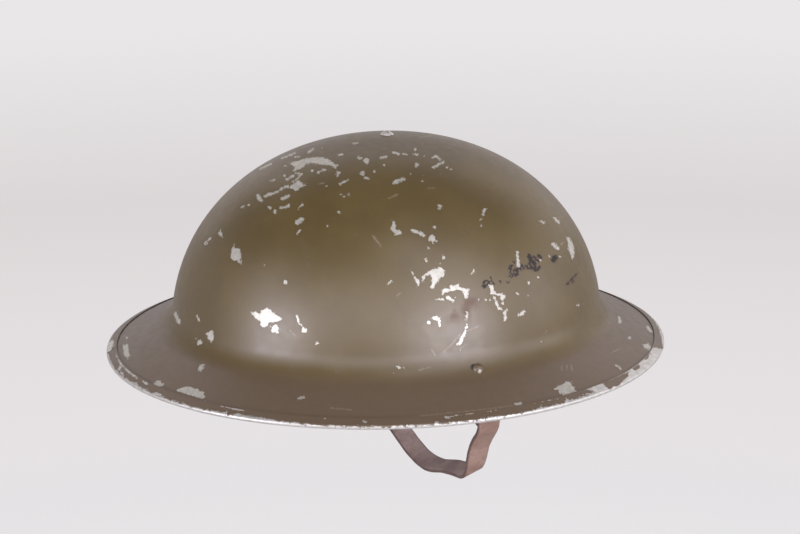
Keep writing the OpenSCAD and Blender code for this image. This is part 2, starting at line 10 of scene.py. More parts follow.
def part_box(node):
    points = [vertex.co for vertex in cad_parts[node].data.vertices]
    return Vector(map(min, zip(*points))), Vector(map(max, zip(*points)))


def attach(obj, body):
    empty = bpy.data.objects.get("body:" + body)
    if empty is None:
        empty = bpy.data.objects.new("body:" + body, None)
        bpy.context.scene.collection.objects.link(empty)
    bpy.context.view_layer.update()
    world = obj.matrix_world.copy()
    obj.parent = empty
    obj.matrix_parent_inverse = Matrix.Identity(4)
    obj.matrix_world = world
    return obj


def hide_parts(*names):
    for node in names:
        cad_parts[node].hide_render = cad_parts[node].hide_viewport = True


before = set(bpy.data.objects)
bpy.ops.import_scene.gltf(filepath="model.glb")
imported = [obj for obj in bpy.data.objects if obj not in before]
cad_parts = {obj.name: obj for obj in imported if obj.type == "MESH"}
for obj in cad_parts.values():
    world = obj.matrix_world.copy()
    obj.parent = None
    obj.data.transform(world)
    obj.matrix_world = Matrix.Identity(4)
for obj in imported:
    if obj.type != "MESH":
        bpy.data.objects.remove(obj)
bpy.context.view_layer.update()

mm = 0.001
scene = bpy.context.scene

# Camera, fitted to the photograph: the frame is 800 by 534 pixels
shot = {
    "azimuth": 67.66,
    "elevation": 13.31,
    "distance": 800.98 * mm,
    "pivotHeight": 60 * mm,
    "lookHeight": 37.53 * mm,
    "lookAside": 6.75 * mm,
    "roll": -0.2,
    "focalPixels": 1482.95,
    "imageWidth": 800,
    "imageHeight": 534,
    "sensorWidth": 36.0,
}


def newObject(name, data):
    thing = bpy.data.objects.new(name, data)
    scene.collection.objects.link(thing)
    return thing


def meshOf(name, shape, finish=None):
    mesh = bpy.data.meshes.new(name)
    shape.to_mesh(mesh)
    shape.free()
    if finish:
        mesh.materials.append(finish)
    return mesh


def pointAt(azimuth, elevation, distance=1.0):  # azimuth 0 is in front of the helmet, 90 on its left
    a, e = math.radians(azimuth), math.radians(elevation)
    return Vector((math.sin(a) * math.cos(e), -math.cos(a) * math.cos(e), math.sin(e))) * distance


def aimCamera():
    turn, roll = math.radians(shot["azimuth"]), math.radians(shot["roll"])
    eye = pointAt(shot["azimuth"], shot["elevation"], shot["distance"]) + Vector((0, 0, shot["pivotHeight"]))
    level = Vector((math.cos(turn), math.sin(turn), 0))
    target = level * shot["lookAside"] + Vector((0, 0, shot["lookHeight"]))
    forward = (target - eye).normalized()
    right = forward.cross(Vector((0, 0, 1))).normalized()
    up = right.cross(forward)
    right, up = right * math.cos(roll) + up * math.sin(roll), up * math.cos(roll) - right * math.sin(roll)
    lens = bpy.data.cameras.new("photoCamera")
    lens.sensor_width = shot["sensorWidth"]
    lens.lens = shot["focalPixels"] * shot["sensorWidth"] / shot["imageWidth"]
    camera = newObject("photoCamera", lens)
    camera.matrix_world = Matrix((right, up, -forward)).transposed().to_4x4()
    camera.location = eye
    scene.camera = camera
    return np.array(eye), np.array(right), np.array(up), np.array(forward)


eyePoint, eyeRight, eyeUp, eyeForward = aimCamera()


def toPixels(points):  # where points in metres fall in the photograph
    away = points - eyePoint
    depth = away @ eyeForward
    x = shot["imageWidth"] / 2 + shot["focalPixels"] * (away @ eyeRight) / depth
    y = shot["imageHeight"] / 2 - shot["focalPixels"] * (away @ eyeUp) / depth
    return np.column_stack((x, y))


print("camera set")


# Node helpers: an input takes a plain value or another node's output, and that output tells the tree
def addNode(tree, kind, inputs=None, **settings):
    node = tree.nodes.new(kind)
    for key, value in settings.items():
        setattr(node, key, value)
    for key, value in (inputs or {}).items():
        if isinstance(value, bpy.types.NodeSocket):
            tree.links.new(value, node.inputs[key])
        else:
            node.inputs[key].default_value = value
    return node


def calc(operation, *values):
    tree = next(value.id_data for value in values if isinstance(value, bpy.types.NodeSocket))
    return addNode(tree, "ShaderNodeMath", dict(enumerate(values)), operation=operation).outputs[0]


def plus(first, second):
    return calc("ADD", first, second)


def minus(first, second):
    return calc("SUBTRACT", first, second)


def times(first, second):
    return calc("MULTIPLY", first, second)


def larger(first, second):
    return calc("MAXIMUM", first, second)


def swing(value, reach):  # noise about 0.5 made to swing about 0
    return times(minus(value, 0.5), reach)


def fade(value, low, high, start=0.0, end=1.0):  # smooth step from start to end
    inputs = {0: value, 1: low, 2: high, 3: start, 4: end}
    return addNode(value.id_data, "ShaderNodeMapRange", inputs, interpolation_type="SMOOTHSTEP").outputs[0]


def tint(share, first, second):
    return addNode(share.id_data, "ShaderNodeMix", {0: share, 6: first, 7: second},
                   data_type="RGBA").outputs[2]


def mark(tree, name):
    return addNode(tree, "ShaderNodeAttribute", attribute_name=name).outputs["Fac"]


def placeOf(tree, turn=(0, 0, 0), stretch=(1, 1, 1), move=(0, 0, 0)):  # object coordinates, in metres
    inputs = {"Vector": addNode(tree, "ShaderNodeTexCoord").outputs["Object"],
              "Rotation": turn, "Scale": stretch, "Location": move}
    return addNode(tree, "ShaderNodeMapping", inputs).outputs[0]


def lengthOf(vector):
    return addNode(vector.id_data, "ShaderNodeVectorMath", {0: vector}, operation="LENGTH").outputs[1]


def grain(place, scale, detail=3.0, rough=0.5, twist=0.0):
    inputs = {"Vector": place, "Scale": scale, "Detail": detail, "Roughness": rough, "Distortion": twist}
    return addNode(place.id_data, "ShaderNodeTexNoise", inputs).outputs[0]


def newFinish(name, **values):
    finish = bpy.data.materials.new(name)
    finish.use_nodes = True
    tree = finish.node_tree
    surface = tree.nodes["Principled BSDF"]
    for key, value in values.items():
        surface.inputs[key.replace("_", " ")].default_value = value
    return finish, tree, surface, placeOf(tree)


def dress(surface, height, distance, strength=1.0, **looks):  # links the shader's inputs and its relief
    tree = surface.id_data
    for key, value in looks.items():
        tree.links.new(value, surface.inputs[key.replace("_", " ")])
    bump = addNode(tree, "ShaderNodeBump", {"Strength": strength, "Distance": distance, "Height": height})
    tree.links.new(bump.outputs[0], surface.inputs["Normal"])


def shade(red, green, blue):  # a colour written as it looks on screen, 0 to 255
    def straight(level):
        level = level / 255
        return level / 12.92 if level < 0.04045 else ((level + 0.055) / 1.055) ** 2.4

    return (straight(red), straight(green), straight(blue), 1.0)


# Stage: a pale round floor that fades out at its rim, a pale world and soft lamps
stage = {
    "floorDrop": 900 * mm,
    "floorReach": 2250 * mm,
    "floorSolid": 1750 * mm,
    "floorSides": 160,
    "floorColour": shade(160, 157, 158),
    "floorRoughness": 0.9,
    "floorGloss": 0.1,
    "floorGlow": 0.66,
    "skyFrom": -0.5,
    "skyBands": {-0.40: (229, 226, 229), -0.37: (231, 227, 229), -0.28: (226, 222, 223),
                 -0.21: (219, 214, 215), -0.10: (233, 231, 232)},
    "roomColour": shade(252, 243, 246),
    "levelLight": 0.54,
    "levelUpTo": 0.1,
    "overheadLight": 0.03,
    "overheadFrom": 0.75,
    "frontTint": (0.89, 0.86, 1.0),
    "backTint": (1.0, 0.92, 0.94),
    "lampPivot": 40 * mm,
}
lamps = {  # azimuth, elevation, distance, width, height, power, seen in gloss
    "leftWindow": (17, 5, 1.5, 0.72, 0.66, 12, True),
    "rightWindow": (103, 6, 1.5, 0.92, 0.70, 16, True),
    "leftHaze": (5, 28, 1.6, 0.6, 0.5, 1.5, True),
    "frontHaze": (58, 22, 1.6, 1.3, 0.9, 6.5, True),
    "rightHaze": (110, 34, 1.6, 1.0, 0.8, 6, True),
    "upperRightPanel": (92, 56, 1.6, 0.30, 0.30, 1.5, True),
    "sideFill": (152, 12, 1.7, 0.8, 0.7, 3.6, True),
    "backPanel": (247, 43, 1.7, 2.2, 0.6, 4.4, True),
    "backHaze": (240, 14, 1.9, 2.2, 0.7, 1.9, True),
    "backRightPanel": (195, 23, 1.7, 1.1, 0.8, 1.5, True),
    "backLeftPanel": (282, 17, 1.7, 0.8, 0.7, 0.7, True),
    "floorBounce": (70, -52, 0.95, 0.9, 0.9, 3.6, False),
    "topFill": (60, 75, 1.8, 1.6, 1.6, 2.4, False),
}


def seenByCamera(tree):
    return addNode(tree, "ShaderNodeLightPath").outputs["Is Camera Ray"]


def buildFloor():
    shape = bmesh.new()
    bmesh.ops.create_circle(shape, cap_ends=True, segments=stage["floorSides"], radius=stage["floorReach"],
                            matrix=Matrix.Translation((0, 0, -stage["floorDrop"])))
    finish, tree, surface, _ = newFinish("paleFloor", Base_Color=stage["floorColour"],
                                         Roughness=stage["floorRoughness"], Emission_Color=(1, 1, 1, 1),
                                         Specular_IOR_Level=stage["floorGloss"])
    path = seenByCamera(tree)
    tree.links.new(times(path, stage["floorGlow"]), surface.inputs["Emission Strength"])
    under = addNode(tree, "ShaderNodeNewGeometry").outputs["Backfacing"]
    clear = addNode(tree, "ShaderNodeBsdfTransparent").outputs[0]
    rim = fade(lengthOf(placeOf(tree, stretch=(1, 1, 0))), stage["floorSolid"], stage["floorReach"])
    share = times(path, larger(under, rim))  # from below the floor isn't in the way
    both = addNode(tree, "ShaderNodeMixShader", {0: share, 1: surface.outputs[0], 2: clear})
    tree.links.new(both.outputs[0], tree.nodes["Material Output"].inputs[0])
    newObject("floor", meshOf("floor", shape, finish))


def buildWorld():
    world = bpy.data.worlds.new("paleRoom")
    scene.world = world
    world.use_nodes = True
    tree = world.node_tree
    around = addNode(tree, "ShaderNodeTexCoord").outputs["Generated"]
    height = addNode(tree, "ShaderNodeSeparateXYZ", {0: around}).outputs[2]
    lift = addNode(tree, "ShaderNodeMapRange", {0: height, 1: stage["skyFrom"], 2: 0.0}).outputs[0]
    seen = addNode(tree, "ShaderNodeValToRGB", {0: lift})
    stops = seen.color_ramp.elements
    stops.remove(stops[1])
    for index, (level, colour) in enumerate(stage["skyBands"].items()):
        at = 1 - level / stage["skyFrom"]
        stop = stops.new(at) if index else stops[0]
        stop.position = at
        stop.color = shade(*colour)
    light = fade(height, stage["levelUpTo"], stage["overheadFrom"],
                 stage["levelLight"], stage["overheadLight"])
    view = addNode(tree, "ShaderNodeBackground", {0: seen.outputs[0], 1: 1.0}).outputs[0]
    room = addNode(tree, "ShaderNodeBackground", {0: stage["roomColour"], 1: light}).outputs[0]
    mix = addNode(tree, "ShaderNodeMixShader", {0: seenByCamera(tree), 1: room, 2: view})
    tree.links.new(mix.outputs[0], tree.nodes["World Output"].inputs[0])


def hangLamps():
    for name, (azimuth, elevation, distance, width, tall, power, inGloss) in lamps.items():
        lamp = bpy.data.lights.new(name, "AREA")
        lamp.shape = "RECTANGLE"
        lamp.size = width
        lamp.size_y = tall
        lamp.energy = power
        if inGloss:
            lamp.color = stage["backTint" if azimuth > 180 else "frontTint"]
        holder = newObject(name, lamp)
        holder.location = pointAt(azimuth, elevation, distance) + Vector((0, 0, stage["lampPivot"]))
        holder.rotation_euler = (-pointAt(azimuth, elevation)).to_track_quat("-Z", "Y").to_euler()
        holder.visible_camera = False
        holder.visible_glossy = inGloss


buildFloor()
buildWorld()
hangLamps()
scene.view_settings.view_transform = "Standard"
print("stage and lamps set")


# Helmet: the same rule as the CAD, in millimetres until it becomes a mesh
helmet = {
    "length": 305.0,
    "width": 286.0,
    "crownHeight": 110.4,
    "bowlLength": 235.6,
    "bowlFullness": 2.12,
    "bowlMiddle": 6.0,
    "flareRadius": 17.0,
    "brimSlope": 23.0,
    "steel": 1.0,
    "screwHole": 4.8,
    "bandStrip": 0.7,
    "bandWidth": 6.0,
    "bandClear": 0.05,
    "plateGap": 0.3,
}
ovalRatio = helmet["width"] / helmet["length"]
flareRadius = helmet["flareRadius"]
foldRadius = helmet["steel"] / 2 + helmet["bandClear"] + helmet["bandStrip"]
edgeRadius = helmet["length"] / 2 - foldRadius
plateRadius = edgeRadius - helmet["plateGap"]
brimSlope = math.radians(helmet["brimSlope"])
brimTop = helmet["steel"] / 2 / math.cos(brimSlope)


def bowlAt(angle):
    a = math.radians(angle)
    high = helmet["crownHeight"] - helmet["bowlMiddle"]
    power = 2 / helmet["bowlFullness"]
    return (helmet["bowlLength"] / 2 * max(math.cos(a), 0) ** power,
            helmet["bowlMiddle"] + high * max(math.sin(a), 0) ** power)


def bowlLean(angle):
    before, after = bowlAt(angle - 0.5), bowlAt(angle + 0.5)
    return math.atan2(before[0] - after[0], after[1] - before[1])


def flareCentre(angle):
    point, lean = bowlAt(angle), bowlLean(angle)
    return point[0] + flareRadius * math.cos(lean), point[1] + flareRadius * math.sin(lean)


def brimMiss(angle):  # how far above the brim a flare from here would end
    x, z = flareCentre(angle)
    x -= flareRadius * math.sin(brimSlope)
    z -= flareRadius * math.cos(brimSlope)
    return z - brimTop - (edgeRadius - x) * math.tan(brimSlope)


def findJoin(low=1.0, high=60.0, rounds=30):  # where the bowl meets the flare
    for _ in range(rounds):
        middle = (low + high) / 2
        low, high = (low, middle) if brimMiss(middle) > 0 else (middle, high)
    return (low + high) / 2


joinAngle = findJoin()
joinLean = bowlLean(joinAngle)
flareMiddle = flareCentre(joinAngle)
holeAngle = math.degrees(math.acos((helmet["screwHole"] / helmet["bowlLength"])
                                   ** (helmet["bowlFullness"] / 2)))


def wallAt(step):  # outer face: 0 crown hole, 1 foot of the bowl, 2 end of the flare, 3 edge
    if step <= 1:
        return bowlAt(holeAngle + (joinAngle - holeAngle) * step)
    if step <= 2:
        a = joinLean + (math.pi / 2 - brimSlope - joinLean) * (step - 1)
        return flareMiddle[0] - flareRadius * math.cos(a), flareMiddle[1] - flareRadius * math.sin(a)
    start, end = wallAt(2), (plateRadius, brimTop + (edgeRadius - plateRadius) * math.tan(brimSlope))
    share = step - 2
    return start[0] + (end[0] - start[0]) * share, start[1] + (end[1] - start[1]) * share


def innerAt(step):  # the same, moved in by the thickness of the steel
    here, before, after = wallAt(step), wallAt(max(step - 0.01, 0)), wallAt(min(step + 0.01, 3))
    run = (after[0] - before[0], after[1] - before[1])
    size = math.hypot(*run)
    return here[0] + run[1] / size * helmet["steel"], here[1] - run[0] / size * helmet["steel"]


# Sections: rows of places and steps, made a fine line and a flat grid that is bent round along it
def stepRows(place, counts):  # each part of a section in so many steps
    return [(place, part + step / count) for part, count in enumerate(counts) for step in range(count)]


def partOf(step, parts):  # which part of a section a step is in, and how far along it
    part = min(int(step), parts - 1)
    return part, step - part


def sectionLine(rows, between):  # a fine closed line, and the share of its length at each row
    line, marks = [], []
    for index, (place, step) in enumerate(rows):
        marks.append(len(line))
        line.append(place(step))
        if index + 1 < len(rows) and rows[index + 1][0] is place:
            for cut in range(1, between):
                line.append(place(step + (rows[index + 1][1] - step) * cut / between))
    line.append(line[0])
    marks.append(len(line) - 1)
    reach = [0.0]
    for a, b in zip(line, line[1:]):
        reach.append(reach[-1] + math.dist(a, b))
    return line, [reach[m] / reach[-1] for m in marks], reach[-1]


def sectionCurve(name, line):
    data = bpy.data.curves.new(name, "CURVE")
    data.dimensions = "3D"
    spline = data.splines.new("POLY")
    spline.points.add(len(line) - 1)
    for point, (r, z) in zip(spline.points, line):
        point.co = (r * mm, 0, z * mm, 1)
    return newObject(name, data)


def flatSkin(shares, turns):  # a flat grid: x is the turn, y the share of the section
    shape = bmesh.new()
    grid = [[shape.verts.new((column / turns, share, 0)) for column in range(turns + 1)] for share in shares]
    for low, high in zip(grid, grid[1:]):
        for column in range(turns):
            shape.faces.new((low[column], high[column], high[column + 1], low[column + 1]))
    return shape


def newTree(name, **sockets):  # a geometry tree with named inputs: geometry, those given, and a finish
    tree = bpy.data.node_groups.new(name, "GeometryNodeTree")
    for key, kind in {"Geometry": "Geometry", **sockets, "Finish": "Material"}.items():
        tree.interface.new_socket(key.replace("_", " "), in_out="INPUT", socket_type="NodeSocket" + kind)
    tree.interface.new_socket("Geometry", in_out="OUTPUT", socket_type="NodeSocketGeometry")
    return tree, addNode(tree, "NodeGroupInput").outputs


def endTree(tree, made, finish):
    real = addNode(tree, "GeometryNodeRealizeInstances", {"Geometry": made}).outputs[0]
    last = addNode(tree, "GeometryNodeSetMaterial", {"Geometry": real, "Material": finish}).outputs[0]
    tree.links.new(last, addNode(tree, "NodeGroupOutput").inputs[0])
    return tree


# One tree bends every flat grid round the helmet's oval, along a section's line
def ovalTree():
    tree, given = newTree("ovalSkin", Section="Object", Width_ratio="Float", Start_turn="Float", Weld="Float")
    section = addNode(tree, "GeometryNodeObjectInfo", {"Object": given["Section"]}).outputs["Geometry"]
    flat = addNode(tree, "ShaderNodeSeparateXYZ", {0: addNode(tree, "GeometryNodeInputPosition").outputs[0]})
    inputs = {"Curves": section, "Factor": flat.outputs[1]}
    sample = addNode(tree, "GeometryNodeSampleCurve", inputs, mode="FACTOR", use_all_curves=True)
    at = addNode(tree, "ShaderNodeSeparateXYZ", {0: sample.outputs["Position"]})
    angle = times(plus(flat.outputs[0], given["Start turn"]), 2 * math.pi)
    x = times(times(at.outputs[0], calc("COSINE", angle)), given["Width ratio"])
    y = times(at.outputs[0], calc("SINE", angle))
    place = addNode(tree, "ShaderNodeCombineXYZ", {0: x, 1: y, 2: at.outputs[2]}).outputs[0]
    bent = addNode(tree, "GeometryNodeSetPosition",
                   {"Geometry": given["Geometry"], "Position": place}).outputs[0]
    welded = addNode(tree, "GeometryNodeMergeByDistance", {"Geometry": bent, "Distance": given["Weld"]})
    return endTree(tree, welded.outputs[0], given["Finish"])


ovalSkin = ovalTree()


def plainMesh(name, holder):  # what an object's modifiers make of it; the object goes
    bpy.context.view_layer.update()
    mesh = bpy.data.meshes.new_from_object(holder.evaluated_get(bpy.context.evaluated_depsgraph_get()))
    bpy.data.objects.remove(holder)
    mesh.name = name
    return mesh


def runTree(name, source, tree, inputs):
    holder = newObject(name + "Source", source)
    modifier = holder.modifiers.new("grow", "NODES")
    modifier.node_group = tree
    for item in tree.interface.items_tree:
        if item.in_out == "INPUT" and item.name in inputs:
            modifier[item.identifier] = inputs[item.name]
    return plainMesh(name, holder)


def addPiece(name, mesh, nodes=(), body="helmet", sharp=60):
    mesh.shade_smooth()
    mesh.set_sharp_from_angle(angle=math.radians(sharp))
    piece = newObject(name, mesh)
    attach(piece, body)
    if nodes:
        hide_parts(*nodes)
    return piece


def pointsOf(mesh):
    places = np.zeros(len(mesh.vertices) * 3, np.float32)
    normals = np.zeros(len(mesh.vertices) * 3, np.float32)
    mesh.vertices.foreach_get("co", places)
    mesh.vertex_normals.foreach_get("vector", normals)
    return places.reshape(-1, 3).astype(float), normals.reshape(-1, 3).astype(float)


def writeMark(mesh, name, values):
    layer = mesh.attributes.get(name) or mesh.attributes.new(name, "FLOAT", "POINT")
    layer.data.foreach_set("value", np.asarray(values, np.float32))


def readMark(mesh, name):
    values = np.zeros(len(mesh.vertices), np.float32)
    mesh.attributes[name].data.foreach_get("value", values)
    return values


def bendSkin(name, shape, line, startTurn, weld, finish, ratio=ovalRatio):
    flat = bpy.data.meshes.new(name + "Flat")
    shape.to_mesh(flat)
    places, _ = pointsOf(flat)
    writeMark(flat, "along", places[:, 1])
    section = sectionCurve(name + "Section", line)
    mesh = runTree(name, flat, ovalSkin, {"Section": section, "Width ratio": ratio, "Start turn": startTurn,
                                          "Weld": weld, "Finish": finish})
    bpy.data.objects.remove(section)
    return mesh


# Marks are drawn over the photograph, in its pixels, and worked out as distances from their edges
def depthIn(points, stops, width):  # positive inside; a mark without a width is a closed patch
    stops = np.asarray(stops, float)
    best = np.full(len(points), 1e9)
    inside = np.zeros(len(points), bool)
    for a, b in zip(stops, stops[1:] if width else np.roll(stops, -1, axis=0)):
        run = b - a
        share = np.clip(((points - a) @ run) / max(run @ run, 1e-9), 0, 1)
        best = np.minimum(best, np.linalg.norm(points - a - share[:, None] * run, axis=1))
        if not width:
            crosses = (a[1] > points[:, 1]) != (b[1] > points[:, 1])
            inside ^= crosses & (points[:, 0] < a[0] + (points[:, 1] - a[1]) * run[0] / (run[1] or 1e-9))
    return np.where(inside, best, width / 2 - best)


def markDepth(points, marks, reach=7.0):  # the deepest of all marks at each point
    drawn = [(corners, 0) for corners in marks.get("patches", {}).values()]
    drawn += [(stops, width) for group in marks.get("strokes", {}).values() for width, *stops in group]
    drawn += [([(x, y)] * 2, width) for group in marks.get("dots", {}).values() for x, y, width in group]
    depth = np.full(len(points), -reach)
    for stops, width in drawn:
        low, high = np.min(stops, axis=0) - reach - width, np.max(stops, axis=0) + reach + width
        found = np.flatnonzero(((points >= low) & (points <= high)).all(1))
        if len(found):
            depth[found] = np.maximum(depth[found], depthIn(points[found], stops, width))
    return depth


